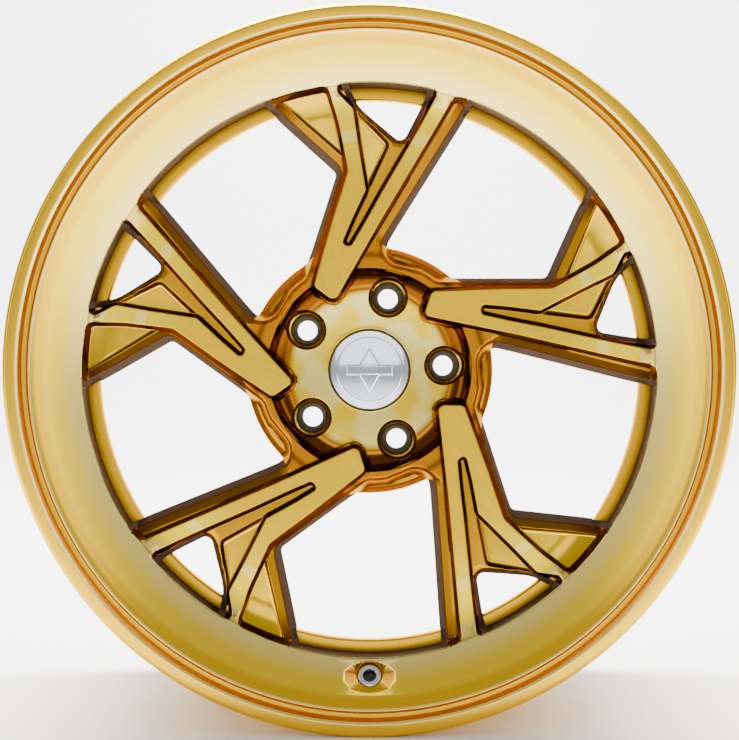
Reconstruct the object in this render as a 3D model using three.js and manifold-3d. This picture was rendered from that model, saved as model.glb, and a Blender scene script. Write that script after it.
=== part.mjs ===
// Forged two-piece racing wheel: a one-piece forged face (hub, twin spokes, lip and outer flange)
// bolted from behind to a spun inner barrel, with lug seats, a snap-in centre cap and a flush valve.
// Millimetres, +Z up. The wheel turns about Y and its street side faces -Y.
// The origin is on the axis, halfway between the two flange edges.
import * as THREE from 'three';
import { mergeVertices } from 'three/addons/utils/BufferGeometryUtils.js';
import Module from 'manifold-3d';

const wasm = await Module();
wasm.setup();

// ---------- rim sizes ----------
const beadSeatRadius = 243.7;        // 19 inch bead seat
const rimWidth = 215.9;              // 8.5 inch between the tyre flanges
const flangeHeight = 17.3;           // J flange
const flangeThickness = 11.55;
const faceSegments = 60;             // a multiple of 20, so every spoke meets the same facets
const touchGap = 0.3;

// ---------- face sizes ----------
const lipDrop = 34;                  // bead seat radius to window edge
const dishDepth = 28;                // front plane to window edge
const dishRun = 12;                  // the inner cone of the dish, across and forward
const dishRise = 7.4;
const lipSection = [                 // [out from the bead seat radius, depth] from dish to edge
  [-11, 12.6], [-1.9, 5.2], [-0.6, 4.6], [1.4, 7], [4.8, 6.4], [6.4, 1.6], [7.6, 0],
];
const edgeChamfer = 2.5;
const flangeCurve = 5.8;             // width of the curve between bead seat and flange
const flangeCurveDepth = 5.5;
const beadHollow = 1.2;              // how far the seat dips before the hump
const beadHollowDepth = 20;          // from the flange's inside
const humpDepth = 24;
const matingDepth = 50;              // front plane to the joint between face and barrel
const matingDrop = 17.7;             // bead seat radius to the outside of the joint
const offset = 35;                   // hub face in front of the rim centreline

// ---------- spokes ----------
const spokeCount = 5;
const spokeFoot = 60;                // radius that the spoke plan starts from
const padDepthAtLip = 28.6;
const padDepthAtFoot = 40.4;
const padThickness = 24;
const backAtLedge = 58;              // front plane to the back of a spoke by the barrel
const backAtMiddle = 62;
const backAtHub = 74;
const shelfDrop = 5;                 // shelf beside the pad
const flapDrop = 7.5;                // pocket floor by the lip
const pocketDrop = 8;                // pocket floor between the branches
const spokeDraft = 4;                // how far the spoke side widens to the back
const spokeDraftLength = 20;
const windowDraft = 5;
const spokeBody = 8;                 // straight part between the drafts
const spokeRoot = 2;                 // how far a spoke runs into the ring

// ---------- hub ----------
const hubFloorDepth = 60;
const hubFloorRadius = 64;
const dishSection = [                // [out from the floor's edge, forward of the floor]
  [0, 0], [7, 4], [12, 12.5],
];
const webDepth = 46.5;
const webRadius = 83;
const webEdge = 3.5;
const webEdgeDrop = 2;
const webFoot = 1.5;                 // lean of the web's outer wall
const webFootDepth = 3;
const rearRingRadius = 93.8;
const rearRingDepth = 70;
const rearRingChamfer = 1;
const rearRingBack = 6;              // hub face to the back of the ring
const hubTaper = 16;
const capPocketRadius = 30.4;
const capPocketDepth = 2;
const snapBoreRadius = 28.6;
const snapBoreLength = 8;
const centreBoreRadius = 33.3;       // 66.6 mm hub bore
const boreChamfer = 1;

// ---------- lug holes ----------
const lugCircleRadius = 56;          // 5 x 112
const lugAngle = 14.5;               // clockwise from the spoke axis
const lugBoreRadius = 7.5;
const lugSeatRadius = 11.7;
const lugSeatTop = 4.5;              // below the hub floor
const lugSeatLength = 14.5;
const lugConeDepth = 8;
const lugSeatRim = 0.8;
const lugSeatChamfer = 0.5;
const lugMouthRim = 3.05;            // mouth beyond the seat
const lugMouthDepth = 2.5;
const lugSegments = 16;

// ---------- barrel ----------
const ledgeShow = 8.4;               // how much of its flange shows inside the window edge
const ledgeChamfer = 1;
const barrelFlange = 8;
const barrelWall = 5.5;
const wellLength = 36;
const wellStep = 10;                 // rise from the well to the rear bead seat's slope
const wellStepLength = 22;
const innerStepLag = 2;              // the inside of the wall follows a little later
const seatStart = 42;                // from the rear flange's inside
const seatStartDrop = 2.5;
const bumpHeight = 1.5;
const rearFlangeBack = 9;
const seatInset = 4;

// ---------- bolts and seal ----------
const boltCount = 20;
const boltInset = 12;                // from the outside of the joint
const boltRadius = 3.5;
const boltHeadRim = 1.4;
const boltHeadHeight = 6;
const boltReach = 14;                // thread length in the face
const boltClearance = 0.4;
const boltSegments = 6;
const sealInset = 3.8;               // from the outside of the joint
const sealSqueeze = 0.1;
const sealSection = 1.1;
const sealGrooveSide = 0.5;
const sealGrooveBottom = 0.2;

// ---------- centre cap ----------
const capFlange = 1.4;
const capRimWidth = 0.6;
const capRimHeight = 1.9;
const capLegWall = 1.6;
const capLegClearance = 0.5;
const capLegLength = 9.5;
const capLegCount = 6;
const capSlotWidth = 5;
const capSkirt = 1.5;                // closed part of the legs under the flange
const springInset = 0.4;
const badgeDome = 1.6;
const badgeThickness = 0.8;
const springWire = 0.8;

// ---------- valve ----------
const valveInset = 10.8;             // window edge to where the valve axis leaves the dish
const valveTilt = 36.87;             // degrees from the wheel axis
const valveHoleRadius = 5.65;        // 11.3 mm valve hole
const valveSpotRadius = 9.4;
const valveSpotDepth = 4;
const valveSeatCut = 0.17;           // depth of the flat under the grommet
const nutFlangeClearance = 0.8;
const nutFlangeThickness = 1.8;
const nutSleeveClearance = 0.35;
const nutSleeveLength = 11;
const nutMouthWall = 0.4;
const nutMouthDepth = 8.5;
const washerThickness = 0.7;
const stemRadius = 3.6;
const stemBoreRadius = 1.9;
const stemTop = 9.5;
const stemHeadRadius = 8;
const valveSeatClearance = 1;
const stemHeadThickness = 2.5;
const grommetThickness = 3.5;
const valveCapClearance = 0.4;
const valveCapTop = 6;
const valveCapEnd = 1.5;
const coreRadius = 1.6;
const coreLength = 9;
const coreTop = 11.5;
const pinRadius = 0.5;
const pinProud = 1.6;
const pinHeadRadius = 1.2;
const pinHeadLength = 1.2;

const valveSegments = 16;
const smallSegments = 8;
const capSegments = 30;

// ---------- worked out from the sizes above ----------
const overallWidth = rimWidth + 2 * flangeThickness;
const flangeRadius = beadSeatRadius + flangeHeight;
const windowRadius = beadSeatRadius - lipDrop;
const matingRadius = beadSeatRadius - matingDrop;
const ledgeRadius = windowRadius - ledgeShow;
const boltCircleRadius = matingRadius - boltInset;
const boltHeadRadius = boltRadius + boltHeadRim;
const sealRadius = matingRadius - sealInset;
const lugMouthRadius = lugSeatRadius + lugMouthRim;
const capRadius = capPocketRadius - touchGap;
const valveRadius = windowRadius + valveInset;
const nutFlangeRadius = valveSpotRadius - nutFlangeClearance;
const nutSleeveRadius = valveHoleRadius - nutSleeveClearance;
const nutMouthRadius = nutSleeveRadius - nutMouthWall;
const valveCapRadius = nutMouthRadius - valveCapClearance;
const hubFaceDepth = overallWidth / 2 - offset;
const padSlope = (padDepthAtFoot - padDepthAtLip) / (windowRadius - spokeFoot);

// ---------- helpers ----------
const toY = (depth) => depth - overallWidth / 2;

function toSolid(geometry) {
  const bare = geometry.index ? geometry.toNonIndexed() : geometry.clone();
  bare.deleteAttribute('normal');
  bare.deleteAttribute('uv');
  const merged = mergeVertices(bare, 1e-4);
  const corners = merged.index.array;
  const kept = [];
  for (let i = 0; i < corners.length; i += 3) {
    const [a, b, c] = [corners[i], corners[i + 1], corners[i + 2]];
    if (a !== b && b !== c && c !== a) kept.push(a, b, c);
  }
  return new wasm.Manifold(new wasm.Mesh({
    numProp: 3,
    vertProperties: new Float32Array(merged.attributes.position.array),
    triVerts: new Uint32Array(kept),
  }));
}

function toGeometry(solid) {
  const result = solid.getMesh();
  const geometry = new THREE.BufferGeometry();
  geometry.setAttribute('position', new THREE.Float32BufferAttribute(result.vertProperties, 3));
  geometry.setIndex(Array.from(result.triVerts));
  return geometry;
}

const joined = (solids) => solids.reduce((sum, next) => sum.add(next));

function anticlockwise(points) {
  const vectors = points.map(([x, y]) => new THREE.Vector2(x, y));
  return THREE.ShapeUtils.isClockWise(vectors) ? vectors.reverse() : vectors;
}

// A turned solid about Y from a closed profile of [radius, y].
function turnedProfile(profile, segments) {
  const ring = anticlockwise(profile);
  return new THREE.LatheGeometry([...ring, ring[0]], segments);
}

// A turned solid about the wheel axis from a closed profile of [radius, depth].
function turned(profile, segments = faceSegments) {
  return toSolid(turnedProfile(profile.map(([r, depth]) => [r, toY(depth)]), segments));
}

// A prism of an outline [x, z] between two depths. slope makes both ends follow the spoke's fall,
// and draft widens it from the ends towards the middle.
function prism(outline, front, back, { slope = 0, draft = 0, draftLength = 0 } = {}) {
  const geometry = new THREE.ExtrudeGeometry(new THREE.Shape(anticlockwise(outline)), {
    depth: back - front - 2 * draftLength,
    bevelEnabled: draft > 0,
    bevelThickness: draftLength,
    bevelSize: draft,
    bevelSegments: 1,
    curveSegments: 1,
  });
  geometry.translate(0, 0, draftLength);
  geometry.rotateX(Math.PI / 2);
  geometry.translate(0, toY(back), 0);
  const shear = new THREE.Matrix4().makeShear(0, 0, 0, 0, 0, -slope);
  geometry.applyMatrix4(shear);
  geometry.translate(0, slope * windowRadius, 0);
  return toSolid(geometry);
}

const sloped = { slope: padSlope };

function spun(solid, index, count) {
  return solid.rotate([0, (index * 360) / count, 0]);
}

function around(solid, count) {
  return Array.from({ length: count }, (_, index) => spun(solid, index, count));
}

function placed(solid, degreesFromTop, radius) {
  return solid.translate([0, 0, radius]).rotate([0, degreesFromTop, 0]);
}

// ---------- materials ----------
function metal(color, roughness, metalness) {
  return new THREE.MeshStandardMaterial({ color, roughness, metalness });
}

const goldForging = metal(0xd9b23c, 0.28, 1);
const goldBarrel = metal(0xc9962a, 0.35, 1);
const blackRubber = metal(0x17171a, 0.8, 0);
const boltSteel = metal(0x8d8f92, 0.35, 1);
const seatSteel = metal(0x5e4c28, 0.45, 1);
const blackPlastic = metal(0x1b1b1e, 0.5, 0);
const chrome = metal(0xe9ebee, 0.05, 1);
const springSteel = metal(0x9a9ca0, 0.3, 1);
const valveAluminium = metal(0xa7a9ab, 0.35, 1);
const valveBrass = metal(0xb6923f, 0.35, 1);

const wheel = new THREE.Group();

function addPiece(name, geometry, material) {
  const mesh = new THREE.Mesh(geometry, material.clone());
  mesh.name = name;
  wheel.add(mesh);
}

// ---------- spoke plan ----------
// Points are [across, along]: across in mm from the spoke's radial line, along from 0 at the
// spoke foot to 1 at the window radius.
const planPoint = ([across, along]) => [across, spokeFoot + along * (windowRadius - spokeFoot)];
const plan = (points) => points.map(planPoint);

const padOutline = plan([
  [-39.2, 0.017], [-30.5, -0.038], [-25.8, -0.040], [-22.1, -0.010],
  [7.4, 0.336], [29.9, 0.578], [61.5, 0.932], [65.5, 0.985],
  [52.0, 0.995], [49.6, 0.950], [31.1, 0.724], [18.3, 0.579], [-2.4, 0.336], [-11.6, 0.234],
  [-14.6, 0.224], [-17.6, 0.228], [-19.1, 0.248],
  [-13.6, 0.336], [-2.9, 0.487], [-8.8, 0.724], [-11.7, 0.878], [-23.5, 0.966], [-25.0, 1.010],
  [-31.0, 1.005], [-27.0, 0.917], [-18.3, 0.676], [-15.8, 0.574], [-20.2, 0.482],
  [-27.2, 0.336], [-38.1, 0.092], [-39.9, 0.045],
]);

const baseOutline = plan([
  [-43.0, 0.015], [-46.4, 0.060], [-37.8, 0.234], [-26.6, 0.464], [-22.9, 0.548], [-22.9, 0.582],
  [-24.6, 0.612], [-29.5, 0.653], [-58.9, 0.829], [-71.4, 0.902], [-74.0, 0.928],
  [-40.0, 1.005], [0.0, 1.015], [40.0, 1.005], [75.0, 0.940],
  [71.0, 0.902], [51.6, 0.698], [22.2, 0.382], [14.8, 0.307], [11.1, 0.259], [11.5, 0.219],
  [14.9, 0.175], [22.3, 0.131], [10.0, 0.108], [-20.0, 0.085],
]);

const flapOutline = plan([
  [-65.0, 0.916], [-51.1, 0.952], [-38.7, 0.969], [-32.8, 0.964], [-29.2, 0.936], [-20.9, 0.661],
]);

const pocketOutline = plan([
  [-2.9, 0.487], [-8.8, 0.724], [-11.4, 0.874], [-8.8, 0.868], [12.4, 0.763], [13.9, 0.724],
  [11.0, 0.676], [3.7, 0.579],
]);

const windowOutline = plan([
  [-15.5, 1.010], [-6.0, 0.904], [16.4, 0.779], [22.4, 0.759], [27.6, 0.774], [35.8, 0.884],
  [43.0, 1.000],
]);

// Everything that a spoke may fill, with its back stepping clear of the barrel's flange.
function spokeEnvelope() {
  const middleRadius = (ledgeRadius + rearRingRadius) / 2;
  return turned([
    [0, 0], [windowRadius + spokeRoot, 0], [windowRadius + spokeRoot, matingDepth - touchGap],
    [ledgeRadius - touchGap, matingDepth - touchGap], [ledgeRadius - touchGap, backAtLedge],
    [middleRadius, backAtMiddle], [rearRingRadius, backAtHub], [0, backAtHub],
  ]);
}

function spoke() {
  const shelf = padDepthAtLip + shelfDrop;
  const base = prism(baseOutline, shelf, shelf + 2 * spokeDraftLength + spokeBody,
    { ...sloped, draft: spokeDraft, draftLength: spokeDraftLength });
  const pad = prism(padOutline, padDepthAtLip, padDepthAtLip + padThickness, sloped);
  const flap = prism(flapOutline, 0, padDepthAtLip + flapDrop, sloped);
  const pocket = prism(pocketOutline, 0, padDepthAtLip + pocketDrop, sloped);
  return base.add(pad).subtract(flap).subtract(pocket).intersect(spokeEnvelope());
}

// The opening between the branches: drafted at the front, straight behind.
function smallWindow() {
  const core = turned([[0, 0], [windowRadius, 0], [windowRadius, overallWidth], [0, overallWidth]]);
  const drafted = prism(windowOutline, -matingDepth, matingDepth,
    { draft: windowDraft, draftLength: matingDepth - padDepthAtLip });
  const through = prism(windowOutline, 0, hubFaceDepth);
  return drafted.add(through).intersect(core);
}

// ---------- forged face ----------
function outerRing() {
  return turned([
    [windowRadius, dishDepth], [windowRadius + dishRun, dishDepth - dishRise],
    ...lipSection.map(([out, depth]) => [beadSeatRadius + out, depth]),
    [flangeRadius - edgeChamfer, 0], [flangeRadius, edgeChamfer],
    [flangeRadius - 3 * edgeChamfer, flangeThickness],
    [beadSeatRadius + flangeCurve, flangeThickness],
    [beadSeatRadius, flangeThickness + flangeCurveDepth],
    [beadSeatRadius - beadHollow, flangeThickness + beadHollowDepth],
    [beadSeatRadius, flangeThickness + humpDepth],
    [matingRadius + 2 * touchGap, matingDepth - touchGap], [windowRadius, matingDepth - touchGap],
  ]);
}

function hub() {
  const floorWall = hubFloorDepth + capPocketDepth;
  const snapEnd = hubFloorDepth + snapBoreLength;
  return turned([
    [capPocketRadius, hubFloorDepth],
    ...dishSection.map(([out, rise]) => [hubFloorRadius + out, hubFloorDepth - rise]),
    [webRadius - webEdge, webDepth], [webRadius, webDepth + webEdgeDrop],
    [webRadius + webFoot, rearRingDepth - webFootDepth],
    [rearRingRadius - rearRingChamfer, rearRingDepth],
    [rearRingRadius, rearRingDepth + 1.5 * rearRingChamfer],
    [rearRingRadius - rearRingChamfer, hubFaceDepth - rearRingBack],
    [rearRingRadius - hubTaper, hubFaceDepth], [centreBoreRadius + boreChamfer, hubFaceDepth],
    [centreBoreRadius, hubFaceDepth - boreChamfer],
    [centreBoreRadius, snapEnd], [snapBoreRadius, snapEnd], [snapBoreRadius, floorWall],
    [capPocketRadius, floorWall],
  ]);
}

function lugHole() {
  const seatBottom = hubFloorDepth + lugSeatTop + lugSeatLength + touchGap;
  const wall = lugSeatRadius + touchGap;
  return turned([
    [0, 0], [lugMouthRadius, 0], [lugMouthRadius, hubFloorDepth],
    [wall, hubFloorDepth + lugMouthDepth], [wall, seatBottom], [lugBoreRadius + touchGap, seatBottom],
    [lugBoreRadius + touchGap, overallWidth], [0, overallWidth],
  ], lugSegments);
}

const lugPlace = (solid, index) =>
  placed(solid, lugAngle + (index * 360) / spokeCount, lugCircleRadius);

const boltAngle = (index) => ((index + 0.5) * 360) / boltCount;

function boltHole(front, back) {
  const radius = boltRadius + boltClearance;
  return turned([[0, front], [radius, front], [radius, back], [0, back]], boltSegments);
}

// Valve parts are turned about Y from [radius, depth below the dish] and then tilted into place.
function valveTurned(profile, segments = valveSegments) {
  return toSolid(turnedProfile(profile, segments)).rotate([-valveTilt, 0, 0])
    .translate([0, toY(dishDepthAt(valveRadius)), -valveRadius]);
}

// Depth of the dish at a radius between the window edge and the groove.
function dishDepthAt(radius) {
  return dishDepth - dishRise * (radius - windowRadius) / dishRun;
}

// Length of the valve axis from the dish to the slope behind the bead seat, less the seat's cut.
function wallAlongValve() {
  const tilt = THREE.MathUtils.degToRad(valveTilt);
  const axis = new THREE.Vector2(Math.sin(tilt), Math.cos(tilt));
  const start = new THREE.Vector2(valveRadius, dishDepthAt(valveRadius));
  const hump = new THREE.Vector2(beadSeatRadius, flangeThickness + humpDepth);
  const foot = new THREE.Vector2(matingRadius + 2 * touchGap, matingDepth - touchGap);
  const across = new THREE.Vector2(foot.y - hump.y, hump.x - foot.x);
  return hump.clone().sub(start).dot(across) / axis.dot(across) - valveSeatCut;
}

const valveWall = wallAlongValve();

function valveHole() {
  const overshoot = 20;
  const seatRadius = stemHeadRadius + valveSeatClearance;
  return valveTurned([
    [0, -overshoot], [valveSpotRadius, -overshoot], [valveSpotRadius, valveSpotDepth],
    [valveHoleRadius, valveSpotDepth], [valveHoleRadius, valveWall],
    [seatRadius, valveWall], [seatRadius, valveWall + overshoot],
    [0, valveWall + overshoot],
  ]);
}

function forgedFace() {
  const spokes = around(spoke(), spokeCount);
  const windows = around(smallWindow(), spokeCount);
  const bore = turned([
    [0, 0], [capPocketRadius, 0], [capPocketRadius, hubFloorDepth], [0, hubFloorDepth],
  ]);
  const lugs = Array.from({ length: spokeCount }, (_, index) => lugPlace(lugHole(), index));
  const threads = Array.from({ length: boltCount }, (_, index) => placed(
    boltHole(matingDepth - boltReach - boltClearance, matingDepth), boltAngle(index),
    boltCircleRadius));
  const stock = joined([outerRing(), hub(), ...spokes]);
  return stock.subtract(joined(windows)).subtract(joined([...lugs, bore]))
    .subtract(joined(threads)).subtract(valveHole());
}

addPiece('forged_face', toGeometry(forgedFace()), goldForging);

// ---------- inner barrel ----------
function barrelShell() {
  const wellEnd = matingDepth + wellLength;
  const flangeBack = matingDepth + barrelFlange;
  const rearSeat = overallWidth - flangeThickness;
  const wellInside = matingRadius - barrelWall;
  return turned([
    [ledgeRadius, matingDepth + ledgeChamfer], [ledgeRadius + ledgeChamfer, matingDepth],
    [matingRadius, matingDepth], [matingRadius, wellEnd],
    [matingRadius + wellStep, wellEnd + wellStepLength],
    [beadSeatRadius - seatStartDrop, rearSeat - seatStart],
    [beadSeatRadius - beadHollow + bumpHeight, rearSeat - humpDepth],
    [beadSeatRadius - beadHollow, rearSeat - beadHollowDepth],
    [beadSeatRadius, rearSeat - flangeCurveDepth], [beadSeatRadius + flangeCurve, rearSeat],
    [flangeRadius - 3 * edgeChamfer, rearSeat], [flangeRadius, overallWidth - edgeChamfer],
    [flangeRadius - edgeChamfer, overallWidth], [flangeRadius - rearFlangeBack, overallWidth],
    [beadSeatRadius - barrelWall, rearSeat - seatInset],
    [beadSeatRadius - seatStartDrop - barrelWall, rearSeat - seatStart],
    [matingRadius + wellStep - barrelWall, wellEnd + wellStepLength + innerStepLag],
    [wellInside, wellEnd + 1.5 * innerStepLag], [wellInside, flangeBack], [ledgeRadius, flangeBack],
  ]);
}

function sealGroove() {
  const half = sealSection + sealGrooveSide;
  const bottom = matingDepth - sealSqueeze + 2 * sealSection + sealGrooveBottom;
  return turned([
    [sealRadius - half, 0], [sealRadius + half, 0], [sealRadius + half, bottom],
    [sealRadius - half, bottom],
  ]);
}

function innerBarrel() {
  const holes = Array.from({ length: boltCount }, (_, index) => placed(
    boltHole(0, matingDepth + 2 * barrelFlange), boltAngle(index), boltCircleRadius));
  return barrelShell().subtract(sealGroove()).subtract(joined(holes));
}

addPiece('inner_barrel', toGeometry(innerBarrel()), goldBarrel);

// ---------- joint seal and bolts ----------
function ringProfile(radius, depth, section, points) {
  return Array.from({ length: points }, (_, index) => {
    const angle = ((index + 0.5) * 2 * Math.PI) / points;
    return [radius + section * Math.cos(angle), depth + section * Math.sin(angle)];
  });
}

addPiece('barrel_seal', toGeometry(turned(
  ringProfile(sealRadius, matingDepth - sealSqueeze + sealSection, sealSection, 5))), blackRubber);

function barrelBolt() {
  const seat = matingDepth + barrelFlange + touchGap;
  const head = seat + boltHeadHeight;
  const tip = matingDepth - boltReach;
  return turned([
    [0, tip], [boltRadius, tip], [boltRadius, seat], [boltHeadRadius, seat],
    [boltHeadRadius, head], [0, head],
  ], boltSegments);
}

for (let index = 0; index < boltCount; index += 1) {
  const bolt = placed(barrelBolt(), boltAngle(index), boltCircleRadius);
  addPiece(`barrel_bolt_${String(index + 1).padStart(2, '0')}`, toGeometry(bolt), boltSteel);
}

// ---------- lug seats ----------
function lugSeat() {
  const top = hubFloorDepth + lugSeatTop;
  const bottom = top + lugSeatLength;
  return turned([
    [lugSeatRadius - lugSeatRim, top], [lugSeatRadius, top + lugSeatChamfer], [lugSeatRadius, bottom],
    [lugBoreRadius, bottom], [lugBoreRadius, top + lugConeDepth],
  ], lugSegments);
}

for (let index = 0; index < spokeCount; index += 1) {
  addPiece(`lug_seat_${index + 1}`, toGeometry(lugPlace(lugSeat(), index)), seatSteel);
}

// ---------- centre cap ----------
const capSeat = hubFloorDepth + capPocketDepth - touchGap;
const capFront = capSeat - capFlange;
const capLegRadius = snapBoreRadius - capLegClearance;
const capLegEnd = capSeat + capLegLength;

function capBody() {
  const shell = turned([
    [0, capFront], [capRadius - capRimWidth, capFront], [capRadius - capRimWidth, capFront - capRimHeight],
    [capRadius, capFront - capRimHeight], [capRadius, capSeat], [capLegRadius, capSeat],
    [capLegRadius, capLegEnd], [capLegRadius - capLegWall, capLegEnd],
    [capLegRadius - capLegWall, capSeat], [0, capSeat],
  ], capSegments);
  const half = capSlotWidth / 2;
  const slot = prism([[-half, 0], [half, 0], [half, capRadius], [-half, capRadius]],
    capSeat + capSkirt, capLegEnd + capLegWall);
  return shell.subtract(joined(around(slot, capLegCount)));
}

function capBadge() {
  const radius = capRadius - capRimWidth - touchGap;
  const back = capFront - touchGap;
  const edge = back - badgeThickness;
  const domeSteps = 3;
  const dome = Array.from({ length: domeSteps + 1 }, (_, index) => {
    const share = index / domeSteps;
    return [radius * share, edge - badgeDome * (1 - share * share)];
  });
  return turned([...dome, [radius, back], [0, back]], capSegments);
}

function capSpring() {
  const radius = capLegRadius - capLegWall - touchGap - springWire;
  return turned(ringProfile(radius, capLegEnd - springWire - springInset, springWire, 5), capSegments);
}

addPiece('cap_body', toGeometry(capBody()), blackPlastic);
addPiece('cap_badge', toGeometry(capBadge()), chrome);
addPiece('cap_spring_ring', toGeometry(capSpring()), springSteel);

// ---------- valve ----------
const washerTop = valveSpotDepth - touchGap - washerThickness;
const nutBack = washerTop - touchGap;
const headTop = valveWall + 2 * touchGap + grommetThickness;

const stem = valveTurned([
  [stemBoreRadius, stemTop], [stemRadius, stemTop], [stemRadius, headTop], [stemHeadRadius, headTop],
  [stemHeadRadius, headTop + stemHeadThickness], [stemBoreRadius, headTop + stemHeadThickness],
]);
addPiece('valve_stem', toGeometry(stem), valveAluminium);

const grommet = valveTurned([
  [stemRadius + touchGap, valveWall + touchGap], [stemHeadRadius, valveWall + touchGap],
  [stemHeadRadius, headTop - touchGap], [stemRadius + touchGap, headTop - touchGap],
]);
addPiece('valve_grommet', toGeometry(grommet), blackRubber);

const washer = valveTurned([
  [nutSleeveRadius + touchGap, washerTop], [nutFlangeRadius, washerTop],
  [nutFlangeRadius, washerTop + washerThickness], [nutSleeveRadius + touchGap, washerTop + washerThickness],
]);
addPiece('valve_washer', toGeometry(washer), springSteel);

const nut = valveTurned([
  [nutMouthRadius, nutBack - nutFlangeThickness], [nutFlangeRadius, nutBack - nutFlangeThickness],
  [nutFlangeRadius, nutBack], [nutSleeveRadius, nutBack], [nutSleeveRadius, nutBack + nutSleeveLength],
  [stemRadius + touchGap, nutBack + nutSleeveLength], [stemRadius + touchGap, nutBack + nutMouthDepth],
  [nutMouthRadius, nutBack + nutMouthDepth],
]);
addPiece('valve_nut', toGeometry(nut), valveAluminium);

const core = valveTurned([
  [pinRadius + touchGap, coreTop], [coreRadius, coreTop], [coreRadius, coreTop + coreLength],
  [pinRadius + touchGap, coreTop + coreLength],
], smallSegments);
addPiece('valve_core', toGeometry(core), valveBrass);

const pinEnd = coreTop + coreLength + touchGap;
const pin = valveTurned([
  [0, coreTop - pinProud], [pinRadius, coreTop - pinProud], [pinRadius, pinEnd],
  [pinHeadRadius, pinEnd], [pinHeadRadius, pinEnd + pinHeadLength], [0, pinEnd + pinHeadLength],
], smallSegments);
addPiece('valve_core_pin', toGeometry(pin), valveBrass);

const valveCapMouth = nutBack + nutMouthDepth - touchGap;
const valveCap = valveTurned([
  [0, valveCapTop], [valveCapRadius, valveCapTop], [valveCapRadius, valveCapMouth],
  [stemRadius + touchGap, valveCapMouth], [stemRadius + touchGap, valveCapTop + valveCapEnd],
  [0, valveCapTop + valveCapEnd],
]);
addPiece('valve_cap', toGeometry(valveCap), blackPlastic);

export default wheel;
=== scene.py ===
"""Looks for the forged two-piece racing wheel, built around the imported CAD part.

The wheel turns about Y, its street side faces -Y and +Z is up. Sizes below are in millimetres,
and those of the studio and the camera are in metres.
A depth is measured from the front plane of the wheel towards the car. Plan views are drawn in
the plane of the wheel as (across, up), for the spoke that stands at the top.
"""
import math

import bpy
import numpy as np
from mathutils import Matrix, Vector
from mathutils.geometry import delaunay_2d_cdt
from mathutils.kdtree import KDTree


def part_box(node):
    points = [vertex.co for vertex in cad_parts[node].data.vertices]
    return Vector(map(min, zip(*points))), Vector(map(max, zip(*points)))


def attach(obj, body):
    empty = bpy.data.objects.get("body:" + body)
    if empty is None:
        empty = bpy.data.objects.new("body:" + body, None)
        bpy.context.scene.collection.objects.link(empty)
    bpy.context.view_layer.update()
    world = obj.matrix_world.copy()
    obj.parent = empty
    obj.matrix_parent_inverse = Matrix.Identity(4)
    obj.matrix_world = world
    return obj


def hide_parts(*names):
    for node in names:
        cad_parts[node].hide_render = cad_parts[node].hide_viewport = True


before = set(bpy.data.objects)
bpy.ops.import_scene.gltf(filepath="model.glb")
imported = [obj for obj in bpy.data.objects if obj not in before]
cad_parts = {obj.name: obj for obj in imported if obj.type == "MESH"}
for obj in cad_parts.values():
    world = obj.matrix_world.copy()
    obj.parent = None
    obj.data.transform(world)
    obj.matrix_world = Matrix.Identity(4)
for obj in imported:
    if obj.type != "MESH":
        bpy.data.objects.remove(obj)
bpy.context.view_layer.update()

MM = 0.001

# ---------- sizes taken from the frame ----------
face_low, face_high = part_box("forged_face")
barrel_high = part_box("inner_barrel")[1]
flange_radius = face_high.x / MM
front_y = face_low.y / MM
hub_face_depth = face_high.y / MM - front_y
overall_width = barrel_high.y / MM - front_y

# ---------- sizes of the rim ----------
spoke_count = 5
pitch = 2 * math.pi / spoke_count
bead_seat_radius = flange_radius - 17.3
flange_thickness = 11.55
window_radius = bead_seat_radius - 34.0
window_edge_depth = 28.0
dish_slope = 0.60
dish_curve = 0.0037
mating_depth = 49.7
mating_radius = bead_seat_radius - 17.7
ledge_clear_radius = 200.9

# ---------- levels of the face ----------
pad_depth_at_foot = 41.5
pad_foot_radius = 65.0
pad_slope = 0.05
lip_blend = 6.2
shelf_drop = 4.0
flap_drop = 7.0
pocket_drop = 8.0
hub_floor_depth = 60.0
dish_edge_radius = 75.5
ring_depth = 71.0
ring_radius = 93.8
ring_bevel_radius = 89.3
spoke_thickness = 28.0
rear_step_radius = 79.8                   # inside it the back of the hub is at its full depth
rear_ring_depth = 78.5
rear_blend = 14.0                         # how far out the back of the ring runs into the spokes
bore_rear_radius = 33.3
bore_blend_radius = 46.0
cap_pocket_radius = 30.4
lug_circle_radius = 56.0
lug_angle = math.radians(14.5)
lug_hole_radius = 12.0
lug_mouth_radius = 14.75
lug_rear_radius = 7.8
lug_step_depth = 79.3
lug_blend_radius = 20.0

# ---------- mesh density ----------
ring_steps = 360
smooth_bend = 32.0                        # a profile is shaded smooth across bends below this angle
weld_reach = 0.004                        # points closer than this are made one
front_margin = 212.0                      # where the spoke mesh meets the turned lip
wedge_start = math.radians(-39.0)         # one spoke's share of the face, clockwise from the top
wedge_end = wedge_start + pitch


# ---------- smooth minimum and maximum ----------
def soft_min(a, b, reach):
    share = np.maximum(reach - np.abs(a - b), 0.0) / reach
    return np.minimum(a, b) - share * share * reach / 4


def soft_max(a, b, reach):
    return -soft_min(-a, -b, reach)


# ---------- plan outlines ----------
def arc_points(radius, start, end, step=3.0):
    """Points of an outline on a circle, from and to an angle clockwise from the top."""
    count = max(int(round(abs(end - start) / step)), 1)
    angles = [math.radians(start + (end - start) * i / count) for i in range(count + 1)]
    return [(radius * math.sin(a), radius * math.cos(a), 0.0) for a in angles]


def unit(rows):
    """The same vectors with a length of one."""
    return rows / np.maximum(np.linalg.norm(rows, axis=-1), 1e-12)[..., None]


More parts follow.
